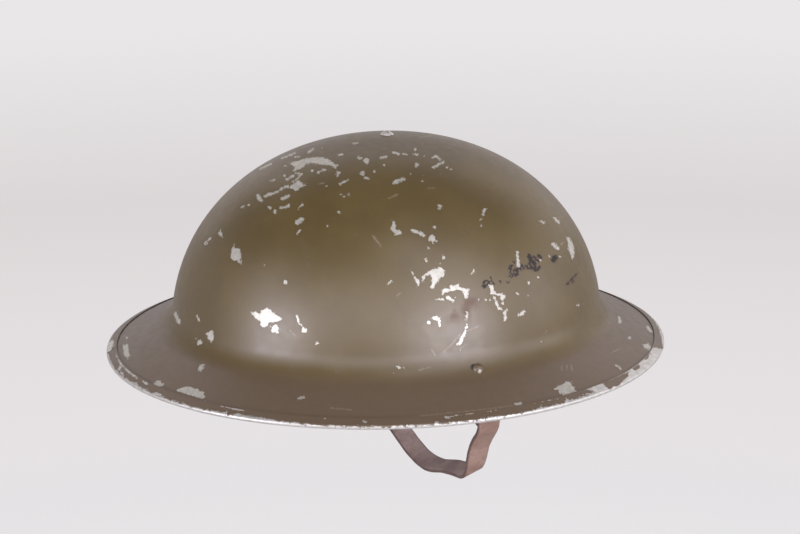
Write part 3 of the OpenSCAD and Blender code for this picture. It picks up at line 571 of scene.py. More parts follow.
# Paint lost down to the steel, drawn over the photograph: corners, strokes (width, stops), dots (x, y, width)
creaseLeaf = [(511.5, 406.2), (514, 404.4), (516.5, 402.8), (519, 402.2), (521.6, 402.4), (522.8, 404.4),
    (520, 405.6), (516, 405.8)]  # on the shell and on its band
chips = {
    "patches": {
        "crownCrescent": [(289, 163.4), (297, 160.7), (306, 158), (312.5, 157.4), (320, 156.3),
            (327.7, 158.5), (332, 161.7), (338, 165.5), (335.8, 168.2), (329.8, 165.5), (320, 164.4),
            (313.6, 163.4), (307, 163.9), (301.7, 168.2), (298.4, 169.9), (292.4, 170.9), (295, 166.6)],
        "crescentEnd": [(336.9, 170.4), (341.8, 172.6), (336.9, 176.9), (335.8, 174.2)],
        "crownStar": [(288, 187.8), (293, 184), (298.4, 180.2), (303.3, 184), (309, 185), (302.7, 186),
            (295.7, 192), (291.9, 188.8)],
        "crownWedge": [(255.6, 194.8), (259.4, 193.2), (261, 198), (263.7, 201.8), (260.5, 202.9),
            (257.2, 199)],
        "slopeNick": [(217.5, 234.5), (220.5, 229.7), (222.5, 233.5), (222, 237.5)],
        "slopeShield": [(230, 255), (232.3, 248), (234.4, 244), (235.5, 248), (239.9, 248.5),
            (240.9, 257.7), (242, 263), (239.9, 264.7), (236.6, 261), (231.2, 259.8)],
        "middleHook": [(392.3, 220.3), (395.6, 220.8), (396, 226.8), (395, 228.4), (401.5, 231.7),
            (400.5, 234.4), (395, 234.9), (391.2, 230.6), (390.7, 226.2), (392.9, 224)],
        "middleLeaf": [(410.8, 229.5), (414, 229.5), (423.8, 232.7), (425.4, 235.4), (423.8, 238.2),
            (418.9, 234.4), (412.4, 232.2)],
        "middleFlag": [(428, 239.8), (429.2, 236), (433.5, 234.9), (437.3, 241.4), (434.6, 242),
            (433.5, 244.7), (431.9, 241)],
        "middleThorn": [(423.2, 258.2), (427, 258.2), (428, 263.6)],
        "rightTick": [(481.8, 211.6), (483.9, 208.3), (487.2, 208.3), (485, 214.3), (483.4, 217.6),
            (481.8, 214.3)],
        "bigHook": [(421.8, 276.4), (424.9, 273.9), (431, 268.8), (441.2, 267.8), (444.8, 270.3),
            (445, 275.9), (439.7, 278.5), (438.7, 282), (436, 283.6), (433.6, 290.2), (430.5, 287),
            (432, 279), (430, 275.4), (425.9, 275.9), (423.9, 283), (421.8, 282)],
        "hookBlade": [(409.6, 268.8), (411.6, 269.3), (414.2, 275.9), (415.7, 277.4), (421.3, 283.6),
            (417.2, 286.6), (414.7, 280), (412, 274.9)],
        "brokenArch": [(441.2, 290.2), (445.3, 288.2), (449.4, 288.7), (450.4, 285.6), (458.6, 284),
            (460, 287), (469.8, 289.2), (468.8, 293.3), (466.7, 298.4), (464.2, 297.9), (463.2, 292.2),
            (457.6, 290.2), (450.4, 292.2), (445.3, 292.8), (443.3, 295.3), (441.2, 294.3)],
        "lowBracket": [(431.6, 318.4), (434, 316.2), (438.6, 316.2), (440, 318.8), (439.9, 323.9),
            (441, 330.7), (438.9, 325.6), (437.4, 321), (434, 319.6)],
        "rightCluster": [(489.2, 285), (493.3, 285), (494.8, 291.2), (497.3, 293.8), (503.5, 293.8),
            (506, 297.3), (503.5, 300.9), (500.4, 299.4), (499.9, 296.3), (495.3, 295.3), (490.7, 294.3),
            (489.7, 290.2)],
        "clusterDrop": [(503, 310.6), (507.6, 308), (507, 311.6), (506.5, 320.8), (504, 320.8)],
        "rightOval": [(566.9, 236.7), (569.5, 237.2), (573, 243.9), (574.6, 253), (572, 261.2), (569, 251),
            (567.4, 242.9)],
        "creaseLeaf": creaseLeaf,
        "farBrimChip": [(645, 326.6), (648.6, 326), (654.2, 332.2), (649.6, 332.2)],
        "farBrimBlock": [(642.4, 344), (648.6, 343.5), (652.7, 347.6), (649.6, 350.6), (644, 348)],
        "brimShield": [(554.2, 389.4), (558.8, 385.3), (563.9, 383.8), (566.4, 381.5), (573, 382.2),
            (572, 384.8), (577, 391.4), (563.9, 395.5), (559.3, 393.5), (558.3, 390.4)],
        "bigBright": [(251, 312.5), (254.9, 310.9), (258.7, 313.6), (261.9, 309.8), (266.3, 308.4),
            (270, 308.4), (272.8, 312.5), (279.3, 316.3), (282, 319), (279.3, 321.7), (271.7, 322.8),
            (267.9, 324.4), (264.6, 328.2), (261.4, 326.6), (259.8, 321.7), (254.9, 317.9)],
        "brightBelow": [(271, 326.6), (275.5, 324.4), (279.3, 328.2), (278.7, 332.6), (272.2, 333)],
        "leftLeaf": [(206, 333.6), (212.8, 329), (214.3, 335), (212.8, 340.2), (210.7, 342.8),
            (207.7, 338.2)],
        "leftBrimChip": [(122.6, 345), (128, 344.2), (129.2, 351.4), (130.4, 355), (127.6, 358.6),
            (123.6, 355.5)],
        "brimPlate": [(151, 385.2), (156, 380.8), (160, 380.8), (163.8, 384), (161, 387.2), (154, 387.4)],
        "brimOval": [(197.4, 371.4), (197.9, 367.4), (200.6, 364.5), (204.3, 364), (203.7, 368.2),
            (200.8, 372)],
        "brimStar": [(395.8, 366.2), (399.5, 365.4), (401, 366.8), (403.8, 367), (404.7, 369),
            (401.6, 368.4), (398.6, 368.8), (397.6, 367.4)],
        "brimWedge": [(175, 390.7), (180, 387.7), (189.8, 386), (198.5, 389.7), (204, 391.7), (205, 399.9),
            (191.8, 395.8), (181.6, 392.8)],
    },
    "strokes": {
        "crownLeft": [(2, (293, 182.3), (301.7, 174.2)), (2, (295.7, 173), (301.7, 174.2)),
            (2.7, (264.8, 195.9), (276.7, 192), (287.6, 185.6)), (2.5, (318.5, 172), (325, 169.8)),
            (3.5, (282.5, 199), (288, 196)), (3, (281, 207.5), (289, 206)),
            (2, (242, 207.3), (244.5, 205.8)), (2, (298.5, 208), (302, 204.8)),
            (5, (297.5, 222), (301.8, 219.5)), (2.4, (297.5, 234), (299.5, 230.5)),
            (2.6, (339.8, 184), (347.3, 180.2)), (2.2, (205.2, 244), (210, 238.2)),
            (2, (281.6, 158.5), (294.6, 153)), (2, (260, 168.8), (270.8, 163.9)),
            (2, (270, 180.6), (274, 179.8)), (2.6, (286, 179.4), (293, 176.2)),
            (2.4, (308.5, 152.3), (313.3, 149)), (1.5, (295, 157.3), (299, 156.6)),
            (1.7, (338.7, 155.2), (342.5, 154.6))],
        "crownMiddle": [(1.3, (352.5, 143.9), (357.3, 143.1)), (1.8, (358, 158), (361.6, 158)),
            (2.6, (380.2, 158.2), (386.4, 156.9)), (2.5, (394, 152.5), (398.3, 153.8)),
            (1.7, (403, 154), (407, 154.4)), (1.8, (412.6, 154.2), (418, 154.2)),
            (2.5, (432.4, 157.9), (435.7, 156.3), (440, 159.6)), (2.6, (432.4, 167.7), (443.3, 162.3)),
            (2.4, (365, 178), (369.3, 178.8)), (3.8, (394.7, 182.7), (403.9, 178.5)),
            (2.4, (471.5, 273), (474, 270.7)), (2.2, (387.5, 284), (391.2, 281.3))],
        "middleRight": [(2.6, (436.6, 299.4), (443.3, 299.2)), (3, (446.8, 296.8), (453.5, 301.4)),
            (2.8, (467.2, 312), (466.7, 318.8)), (1.8, (467.2, 324.4), (464.7, 333)),
            (3.4, (464.7, 333), (459, 344.3)), (2.6, (494.3, 296.3), (498.4, 308)),
            (3.2, (518.6, 315.5), (524.4, 311.6)), (3, (517, 251.9), (518.3, 265.7)),
            (2.6, (499, 307.6), (501, 309.4))],
        "right": [(2.8, (554.7, 218.4), (558.8, 223)), (2, (540.5, 221.2), (544.5, 223.4)),
            (3.6, (553, 244), (557.3, 248)), (3.2, (619, 317.5), (620, 322.3)),
            (2.2, (616.4, 365.4), (621, 368.8))],
        "left": [(2.8, (296.6, 316.3), (298.5, 321)), (0.9, (298, 322), (305, 329)),
            (2.6, (298.5, 398.5), (303.7, 396.8)), (3.4, (175, 313.7), (179, 322.3)),
            (2.2, (197, 316.5), (199.3, 320.6)), (2.2, (300.3, 397.9), (303.5, 397))],
    },
    "dots": {
        "crownLeft": [(312.5, 170.7, 2.5), (269.7, 207.8, 3), (274.9, 212, 3.7), (248.6, 205, 2.4),
            (301.7, 202.9, 1.4), (327.7, 225.7, 2), (339, 212.4, 2.6), (327, 186, 1.8), (340.7, 194.5, 1.8),
            (343.9, 197.2, 1.6), (349.3, 194.5, 1.6), (264, 264.7, 2), (285.4, 282.3, 4.5), (285.4, 166, 2),
            (284.3, 175.8, 2.5), (321.7, 148.4, 1.5)],
        "crownMiddle": [(359, 155.8, 1.3), (366.3, 160.7, 6), (385.8, 149.3, 1.5), (414.9, 149.5, 3),
            (446.9, 167.7, 2.5), (451, 169, 2), (417, 164.8, 4.2), (440.8, 174.2, 1.3), (422.5, 176.7, 1.8),
            (422, 181, 1.8), (410.2, 174, 1.4), (424.3, 156.6, 1.4), (383.9, 165.2, 1.6), (362.5, 173.9, 5),
            (374.4, 171.8, 2), (440, 206.4, 5.2), (434.4, 227, 3), (427.9, 247.6, 2.2), (443.6, 257.7, 4),
            (440, 262.9, 1.2), (480.7, 219.9, 2.5), (481.2, 225.4, 2.7)],
        "middleRight": [(455.8, 297.3, 1.8), (428.2, 322.7, 3.5), (459.8, 350.2, 2), (502.4, 303.5, 2),
            (489.7, 299, 1.8), (485.8, 299.9, 1.5), (478.2, 299.4, 2.3), (517.8, 293.5, 2),
            (527.7, 295, 1.8), (528.5, 283, 3), (538.2, 277.2, 2), (394.4, 373.4, 1.3)],
        "right": [(561.9, 243.4, 2), (549.5, 257, 2.6), (559.8, 256.6, 2.4), (540.2, 260.2, 2.4),
            (578.2, 304.9, 2), (629.2, 337.8, 3), (546.5, 331.4, 1.5), (541, 341.8, 1.6)],
        "left": [(304.2, 330, 5.5), (316.9, 343.2, 2.8), (199.5, 342.4, 5), (196, 338.7, 2),
            (126.7, 338, 2.4)],
    },
}
smearsAndRivetShadow = {  # dark marks rubbed into the paint, and a painted shadow in the dimple beside the near lug rivet
    "strokes": {
        "leftLoop": [(1.8, (483.6, 283), (486, 281.2), (489, 281.6)), (2.6, (483.4, 286.6), (485.4, 285.4)),
            (1.1, (485.4, 285.4), (488.6, 284)), (1.1, (490.4, 278), (491, 280)),
            (1, (493.4, 282.4), (494.2, 284))],
        "middleLoop": [(2.2, (511.6, 265.6), (509.8, 268.6)),
            (1.5, (509.8, 268.6), (510.4, 272), (513, 275.6)), (3, (514.8, 271), (518.4, 268)),
            (1.6, (514.4, 271.6), (515.4, 275), (517.4, 274)), (1.8, (516.6, 271), (517.4, 274)),
            (1.3, (509.2, 276.4), (510.6, 277.4)), (1.1, (512.4, 259.4), (514.2, 262.4))],
        "link": [(1.8, (520.8, 268.8), (524, 267.8), (526, 265.4), (528.6, 268.2)),
            (1.6, (521, 265.6), (523, 267))],
        "rightLoop": [(3, (528.6, 255.6), (530.8, 258.6)), (2, (530.8, 258.6), (529, 263.6), (531.6, 267)),
            (3, (532.4, 260.8), (534.2, 264)), (1.8, (534.2, 264), (535.6, 268.4)),
            (2.6, (531, 267), (533.4, 269.4), (537.8, 269.8)), (1.8, (537.8, 269.8), (539.8, 266.8)),
            (1.2, (533.8, 256.8), (538.2, 261.6)), (2, (538.4, 260.4), (540.6, 258), (538.6, 255.4))],
        "rightBlob": [(4.6, (553.6, 260), (555.2, 257.2)), (1.2, (567.2, 284.6), (568.4, 282.8)),
            (0.9, (570.6, 280.6), (573, 277.6)), (0.8, (571.4, 283), (573.6, 280.4)),
            (0.7, (574.6, 276.4), (576.4, 274))],
    },
    "dots": {
        # the last dot is a painted shadow: the dark hollow round the near lug rivet
        "spotsAndRivetShadow": [(500, 282, 2.2), (508, 281.8, 1.9), (473.6, 367.2, 5)],
    },
}
rust = {  # brown stains
    "strokes": {
        "faint": [(7, (459, 234), (475, 229)), (6, (488, 187), (495, 184)),
            (6, (483, 345.6), (491, 343.4))],
    },
    "dots": {
        "stain": [(472.4, 301.6, 25), (465.5, 311, 21), (455, 316, 20), (418.5, 326, 11), (343.8, 317.4, 7),
            (285.5, 258, 6), (566, 317, 10)],
    },
}
scuffs = {  # faint pale scratches and rubs
    "strokes": {
        "crown": [(1.4, (389, 198.4), (397, 194.6)), (0.7, (419, 137.5), (431, 135.5)),
            (1, (428, 188.4), (434, 188)), (1.6, (373, 236), (381, 246)), (1, (318, 184), (324, 183))],
        "side": [(0.8, (298, 322), (305, 329)), (0.8, (290, 330), (295.5, 336)),
            (1, (443.6, 352), (451, 345), (460, 334.6)), (0.8, (466, 331.4), (478, 326.4)),
            (0.8, (459, 349), (466, 344)), (1.6, (432, 350), (435, 355)), (1.2, (397, 296), (400, 293)),
            (1.4, (561.4, 366.4), (562, 370.4)), (1.3, (566.8, 365.6), (567.3, 369.4)),
            (1.4, (571, 365.4), (572.6, 371))],
        "brim": [(0.9, (420, 416), (450, 413), (480, 409.8), (500, 407.4), (511, 405.8)),
            (1, (418, 370.6), (430, 367)), (0.9, (331, 408), (352, 410)), (1.1, (612, 352), (620, 349))],
    },
}
bandChips = {  # paint lost from the band
    "patches": {
        "leftPlate": [(151.5, 394.3), (156, 391.7), (161.7, 394.8), (162.2, 398.4)],
        "leftTooth": [(117.3, 369.5), (119.6, 365.5), (121.2, 361.8), (124, 365), (121.2, 367),
            (120.6, 371)],
        "leftEdge": [(120, 372), (123, 372.5), (124, 376.5), (128.5, 380), (127, 381.5), (122, 377)],
        "leftTeeth": [(129.5, 381.5), (134, 384), (137.2, 382.2), (138.2, 386), (142.6, 387), (143, 389.8),
            (134, 387)],
        "lowerTeeth": [(165, 401), (170, 402.2), (176, 404.5), (184, 402.6), (188.5, 406.5), (192, 410),
            (178, 407.6)],
        "lowerTooth": [(206, 412), (213, 410.2), (221, 413.4), (226.4, 410.6), (226, 414), (232, 416),
            (216, 416)],
        "widePlate": [(228, 415.5), (238, 413.8), (248.5, 416.4), (256, 417.2), (266.5, 419.6), (262, 422),
            (240, 420)],
        "jointEnd": [(104, 353), (106, 347), (109, 341.5), (112.6, 339), (114, 344), (111.4, 350),
            (108, 353)],
        "rightPlate": [(583.9, 389.1), (591.7, 383.4), (598.3, 381.6), (602.6, 382), (604.6, 387.2),
            (607.2, 391), (605, 400), (590, 402), (592.6, 396.3), (595.2, 392.8), (591, 389.6)],
        "nearLump": [(434.6, 421.4), (438.6, 421.8), (440, 425), (435, 425)],
        "nearRidge": [(500, 418), (503, 415), (508, 414.8), (514, 413.8), (519.6, 412.8), (521.6, 415),
            (512, 418)],
        "creaseLeaf": creaseLeaf,
        "nearSpike": [(540.4, 404.4), (542.4, 407.6), (545.6, 409.4), (545, 412), (537, 412.6),
            (539.6, 409)],
        "rightNick": [(555, 407.4), (560, 404.4), (564, 402.4), (566.6, 397.2), (569, 400.2), (573, 401.8),
            (576.6, 403), (570, 406.6), (558, 409)],
        "rightBlock": [(575, 403), (579, 398.2), (584, 396.2), (589, 397), (591.4, 399.4), (586, 402.4),
            (580, 404)],
        "rightEnd": [(604, 386), (610, 379), (625, 371), (640, 359), (651, 348), (656.5, 346.5), (664, 348),
            (664, 360), (640, 384), (606, 398)],
    },
    "strokes": {
        "nearCrease": [(1.8, (445, 417.6), (450, 417.4)), (2, (453, 416.6), (454.4, 414.8), (459, 414.6)),
            (1.6, (461, 414), (467, 413)), (1.4, (469, 413), (473.4, 412.4)),
            (1.8, (488.6, 410.4), (492, 410), (497, 409.2)), (1.8, (535, 402.6), (536, 402.4)),
            (1.8, (541, 401.4), (542.6, 401)), (1.8, (547.4, 400), (550, 399.6)),
            (1.6, (552, 398.8), (557, 397.6))],
        "crease": [(3.2, (223, 406), (242.9, 409.6)),
            (2.2, (117, 354), (120.2, 361.8), (124.2, 367.3), (130.2, 372.8), (137.2, 378)),
            (2, (143, 381.6), (147, 384)), (2, (203, 400.8), (222, 404.8)),
            (1.8, (581, 389.4), (598, 382.6)), (1.8, (606, 380.4), (618, 375.4))],
    },
    "dots": {
        "crease": [(237.8, 407.6, 5), (364.4, 421.3, 3.8), (258.7, 411.5, 2), (290, 414.2, 2),
            (302, 416, 1.8), (324.8, 418.2, 1.8), (387.5, 418.6, 1.8)],
    },
}
bandPaint = {  # paint that is left on the worn right end of the band
    "patches": {
        "paintTooth": [(603.3, 383.6), (617.8, 376.2), (628.9, 371.4), (628.3, 376.1), (622.2, 381.7),
            (617.8, 386.1), (613.3, 386.3), (611.7, 389.6), (607.8, 388.3), (605, 385)],
        "paintNick": [(631, 367.8), (640, 363.5), (639, 369), (634, 370.6)],
        "paintSpot": [(643.8, 360.5), (646.5, 354.5), (651.4, 352), (649, 356.5), (645.5, 360.5)],
        "paintTop": [(653.5, 335), (661, 337), (663.5, 349), (658, 347.8), (654.5, 346.5)],
    },
}


# Finishes
paint = {
    "colour": shade(93, 79, 43),
    "colourDeep": shade(85, 71, 37),
    "dust": shade(120, 108, 92),
    # the brim's paler, greyer colour: partly dust, partly a painted sheen of reflected light
    "brimDustAndSheen": shade(101, 86, 68),
    "brimDustAndSheenFrom": 17 * mm,
    "brimDustAndSheenFull": 9 * mm,
    "steel": shade(199, 197, 183),
    "steelDull": shade(183, 181, 167),
    "steelMetal": 0.45,
    "roughness": 0.4,
    "gloss": 0.85,
    "rustColour": shade(86, 60, 32),
    "scuffColour": shade(186, 174, 156),
    "smearAndShadeColour": shade(30, 22, 22),
    "stainMatt": 0.15,
    "smearAndShadeMatt": 0.45,
    "thickness": 0.12 * mm,
    "fineScale": 1500,
    "coarseScale": 640,
    "middleScale": 210,
    "broadScale": 26,
    "strandScale": 520,
}


def dustAndSheenShare(place, patchy):  # dust and rubbing dull the paint of the brim; the same tint also paints in a sheen of reflected light
    height = addNode(place.id_data, "ShaderNodeSeparateXYZ", {0: place}).outputs[2]
    share = fade(height, paint["brimDustAndSheenFull"], paint["brimDustAndSheenFrom"], 1, 0)
    return times(share, fade(patchy, 0.3, 0.7, 1, 0.8))


def paintFinish(name, drawn):  # olive paint over steel; drawn: the piece carries the marks
    finish, tree, surface, place = newFinish(name, Specular_IOR_Level=paint["gloss"])
    fine = grain(place, paint["fineScale"], 3, 0.6)
    broad = grain(place, paint["broadScale"], 5, 0.6)
    middle = grain(place, paint["middleScale"], 5, 0.65)
    coarse = grain(place, paint["coarseScale"], 5, 0.7)
    ragged = plus(swing(fine, 3.2), swing(coarse, 8.0))
    specks = fade(grain(place, 330, 4, 0.75), 0.75, 0.76)
    if drawn:
        depth = plus(plus(mark(tree, "chip"), -0.2), ragged)
        worn = fade(plus(middle, times(broad, 0.35)), 0.86, 0.87)
        bare = larger(fade(depth, -0.12, 0.18), times(worn, mark(tree, "unseen")))
        bare = larger(bare, times(specks, 0.9))
        edgeShadeAndPrimer = fade(depth, -1.7, 0.0)
    else:
        bare = edgeShadeAndPrimer = fade(plus(middle, times(specks, 0.2)), 0.66, 0.68)
    colour = tint(fade(broad, 0.35, 0.65), paint["colour"], paint["colourDeep"])
    colour = tint(fade(middle, 0.55, 0.8, 0, 0.16), colour, paint["dust"])
    # painted shade and dark primer: the paint is darker in a rim round each bare patch
    colour = tint(times(edgeShadeAndPrimer, 0.35), colour, paint["colourDeep"])
    # painted sheen: towards the brim the paint turns paler and greyer, partly for dust and partly for
    # reflected light
    colour = tint(dustAndSheenShare(place, middle), colour, paint["brimDustAndSheen"])
    rough = fade(middle, 0.2, 0.8, paint["roughness"] - 0.04, paint["roughness"] + 0.06)
    if drawn:
        mottle = plus(times(middle, 18), times(coarse, 14))
        stained = fade(plus(mark(tree, "rust"), minus(mottle, 16)), -1, 12)
        colour = tint(times(stained, 0.97), colour, paint["rustColour"])
        inputs = {"Vector": place, "Scale": paint["strandScale"]}
        strands = addNode(tree, "ShaderNodeTexVoronoi", inputs, feature="DISTANCE_TO_EDGE").outputs[0]
        wiry = plus(fade(strands, 0.04, 0.3, 0.7, -0.7), times(ragged, 0.35))
        # dark smears, and the painted shadow by the near lug rivet
        smearedAndShaded = fade(plus(mark(tree, "smearAndShade"), wiry), -0.8, 0.6)
        colour = tint(times(smearedAndShaded, 0.95), colour, paint["smearAndShadeColour"])
        matt = larger(times(stained, paint["stainMatt"]), times(smearedAndShaded, paint["smearAndShadeMatt"]))
        rough = plus(rough, matt)  # what is stained, smeared or painted in shadow hardly shines
        pale = plus(mark(tree, "scuff"), swing(coarse, 4))
        colour = tint(fade(pale, -0.9, 1.2, 0, 0.3), colour, paint["scuffColour"])
    metal = tint(fade(grain(place, 420, 4, 0.6), 0.35, 0.65), paint["steel"], paint["steelDull"])
    skin = plus(times(fine, 0.06), times(middle, 0.16))
    dress(surface, minus(skin, bare), paint["thickness"], 0.8, Base_Color=tint(bare, colour, metal),
          Metallic=times(bare, paint["steelMetal"]), Roughness=plus(times(bare, 0.02), rough))
    return finish


olivePaint = paintFinish("olivePaint", True)
olivePaintPlain = paintFinish("olivePaintPlain", False)


# Shell: bent again after each cut, so that its grid gets finer where marks are drawn
shell = {
    "bowlRows": 44,
    "flareRows": 12,
    "brimRows": 7,
    "innerRows": 30,
    "turns": 224,
    "fine": 12,
    "startTurn": 0.5,
    "weld": 0.0005 * mm,
    "finer": ((3, -3.4, 99), (1, -1.2, 1.8)),  # cuts, and the depths in a mark between which a face is cut
    "sightReach": 0.4,
    "sightStart": 1.5 * mm,
    "sightLean": 0.02,
    "innerWear": 0.35,
}
shellMarks = {"chip": (chips, 7.0, -6), "smearAndShade": (smearsAndRivetShadow, 7.0, -6), "scuff": (scuffs, 7.0, -6),
              "rust": (rust, 20, -20)}  # a whole number here rounds the depths of the soft rust to steps


def seenFrom(mesh, tree):  # true where the camera sees a vertex
    places, normals = pointsOf(mesh)
    away = eyePoint - places
    span = np.linalg.norm(away, axis=1)
    seen = (normals * away).sum(1) / span > shell["sightLean"]
    for index in np.flatnonzero(seen):
        start = Vector(places[index] + normals[index] * shell["sightStart"])
        if tree.ray_cast(start, Vector(away[index] / span[index]), shell["sightReach"])[0] is not None:
            seen[index] = False
    return seen


def buildShell():
    outerRows = (shell["bowlRows"], shell["flareRows"], shell["brimRows"])
    rows = stepRows(wallAt, outerRows) + [(wallAt, 3.0)]
    rows += [(innerAt, 3 - 3 * step / shell["innerRows"]) for step in range(shell["innerRows"] + 1)]
    line, shares, _ = sectionLine(rows, shell["fine"])
    outerEnd = shares[sum(outerRows)]
    shape = flatSkin(shares, shell["turns"])

    def bend(weld):
        return bendSkin("shell", shape, line, shell["startTurn"], weld, olivePaint)

    rough = bend(shell["weld"])
    solid = BVHTree.FromPolygons([v.co.copy() for v in rough.vertices],
                                 [list(p.vertices) for p in rough.polygons])
    for cuts, low, high in shell["finer"]:
        mesh = bend(0)
        places, normals = pointsOf(mesh)
        pixels = toPixels(places)
        depth = np.max([markDepth(pixels, marks) for marks in (chips, smearsAndRivetShadow, scuffs)], axis=0)
        depth[(readMark(mesh, "along") > outerEnd) | ((normals * (eyePoint - places)).sum(1) < 0)] = -9
        shape.verts.index_update()
        edges = {}
        for face in shape.faces:
            depths = [depth[v.index] for v in face.verts]
            if low < max(depths) and min(depths) < high:
                edges.update(dict.fromkeys(face.edges))
        bmesh.ops.subdivide_edges(shape, edges=list(edges), cuts=cuts, use_grid_fill=True)
        shape.verts.index_update()
    mesh = bend(shell["weld"])
    shape.free()
    outside = readMark(mesh, "along") <= outerEnd + 1e-6
    seen = seenFrom(mesh, solid)
    pixels = toPixels(pointsOf(mesh)[0])
    for name, (marks, reach, hidden) in shellMarks.items():
        writeMark(mesh, name, np.where(outside & seen, markDepth(pixels, marks, reach), hidden))
    writeMark(mesh, "unseen", np.where(seen, 0.0, 1.0) * np.where(outside, 1.0, shell["innerWear"]))
    return addPiece("shellSkin", mesh, ["shell"], sharp=40)


shellSkin = buildShell()
print("shell bent:", len(shellSkin.data.polygons), "faces")


# Rim band: a strip folded over the edge, painted on top and worn to the steel along its fold
rimBand = {
    "turns": 720,
    "rows": (6, 12, 3, 2, 2, 4, 2, 2),
    "fine": 4,
    "slant": 32,
    "gap": 0.8,
    "startTurn": -0.25 - 9.5 / 360,
    "weld": 0.0005 * mm,
    "endRound": 0.25,
    "steel": shade(215, 214, 205),
    "steelDull": shade(190, 190, 180),
    "steelMetal": 0.5,
    "thickness": 0.1 * mm,
    "fineScale": 1700,
    "coarseScale": 640,
    "middleScale": 340,
    "broadScale": 45,
    "nearSide": 20 * mm,
    "farWear": 0.7,
    "underWear": -1.2,
    "markScale": 0.5,
    # pixel column of the near edge: millimetres worn bare above the fold
    "wear": {104: 0.1, 118: -0.2, 128: 0, 140: -0.2, 150: -0.3, 158: 0, 170: -0.3, 200: -0.5, 242: -0.3,
             252: 0.4, 270: 0.4, 285: -0.4, 330: -0.9, 420: -1.0, 520: -0.6, 560: 0.2, 600: 0.9, 664: 1.2},
}
flange = helmet["bandWidth"] - foldRadius


def acrossRim(inward, across):
    return (edgeRadius - inward * math.cos(brimSlope) + across * math.sin(brimSlope),
            inward * math.sin(brimSlope) + across * math.cos(brimSlope))


def bandAt(step):  # once round the folded strip, from the upper edge over the fold and back inside it
    inner = foldRadius - helmet["bandStrip"]
    part, share = partOf(step, 8)
    wave, turn = math.sin(math.pi * share), math.cos(math.pi * share)
    endRound = rimBand["endRound"] * wave
    return acrossRim(*(
        (flange * (1 - share), foldRadius),
        (-foldRadius * wave, foldRadius * turn),
        (flange * share, -foldRadius),
        (flange + endRound, -foldRadius + helmet["bandStrip"] * share),
        (flange * (1 - share), -inner),
        (-inner * wave, -inner * turn),
        (flange * share, inner),
        (flange + endRound, inner + helmet["bandStrip"] * share),
    )[part])


def bandFinish():
    finish, tree, surface, place = newFinish("rimBandPaint", Specular_IOR_Level=paint["gloss"])
    fine = grain(place, rimBand["fineScale"], 3, 0.6)
    middle = grain(place, rimBand["middleScale"], 5, 0.7)
    broad = grain(place, rimBand["broadScale"], 4, 0.6)
    ragged = plus(swing(middle, 4.0), swing(grain(place, rimBand["coarseScale"], 5, 0.7), 6.5))
    worn = plus(mark(tree, "wear"), ragged)
    drawn = plus(mark(tree, "chip"), times(ragged, 0.6))
    kept = plus(mark(tree, "kept"), times(ragged, 0.4))
    depth = calc("MINIMUM", larger(worn, drawn), times(kept, -1))
    bare = fade(depth, -0.1, 0.15)
    colour = tint(fade(broad, 0.3, 0.7), paint["colour"], paint["colourDeep"])
    # the band's paint takes the brim's dust and its painted sheen of reflected light
    colour = tint(dustAndSheenShare(place, middle), colour, paint["brimDustAndSheen"])
    # painted shade and dark primer: the paint is darker in a rim round the bare steel
    colour = tint(fade(depth, -1.2, 0.0, 0, 0.3), colour, paint["colourDeep"])
    upperEdge = fade(mark(tree, "wear"), -flange - 0.9, -flange - 0.1, 0.45, 0)
    colour = tint(upperEdge, colour, paint["dust"])
    metal = tint(fade(middle, 0.35, 0.65), rimBand["steel"], rimBand["steelDull"])
    skin = plus(times(fine, 0.1), times(middle, 0.3))
    dress(surface, minus(skin, bare), rimBand["thickness"], 0.8, Base_Color=tint(bare, colour, metal),
          Metallic=times(bare, rimBand["steelMetal"]), Roughness=fade(middle, 0.2, 0.8, 0.34, 0.46))
    return finish


def buildBand():
    rows = stepRows(bandAt, rimBand["rows"])
    line, shares, total = sectionLine(rows, rimBand["fine"])
    lean = math.tan(math.radians(rimBand["slant"])) / (2 * math.pi * edgeRadius)
    inward = [edgeRadius - bandAt(step)[0] for _, step in rows]
    inward.append(inward[0])
    shape = flatSkin(shares, rimBand["turns"])
    shape.verts.ensure_lookup_table()
    gap = rimBand["gap"] / (2 * math.pi * edgeRadius)
    columns = rimBand["turns"] + 1
    for index, vertex in enumerate(shape.verts):
        vertex.co.x = gap / 2 + vertex.co.x * (1 - gap) - lean * inward[index // columns]
    for column in (0, columns - 1):  # close the two ends
        shape.faces.new([shape.verts[row * columns + column] for row in range(len(rows))])
    mesh = bendSkin("rimBand", shape, line, rimBand["startTurn"], rimBand["weld"], bandFinish())
    shape.free()
    whole = bmesh.new()
    whole.from_mesh(mesh)
    bmesh.ops.recalc_face_normals(whole, faces=whole.faces)
    whole.to_mesh(mesh)
    whole.free()
    places, normals = pointsOf(mesh)
    pixels = toPixels(places)
    near = places[:, 0] * eyeForward[0] + places[:, 1] * eyeForward[1] < rimBand["nearSide"]
    wear = np.interp(pixels[:, 0], list(rimBand["wear"]), list(rimBand["wear"].values()))
    fromEdge = readMark(mesh, "along") * total
    under = fromEdge > flange + math.pi * foldRadius
    worn = fromEdge - flange + np.where(near, wear, rimBand["farWear"])
    writeMark(mesh, "wear", np.where(under, rimBand["underWear"], worn))
    seen = ((normals * (eyePoint - places)).sum(1) > 0) & ~under
    for name, marks in (("chip", bandChips), ("kept", bandPaint)):
        writeMark(mesh, name, np.where(seen, markDepth(pixels, marks), -6) * rimBand["markScale"])
    return addPiece("rimBandStrip", mesh, ["rim_band"], sharp=40)


rimBandStrip = buildBand()
print("rim band folded")


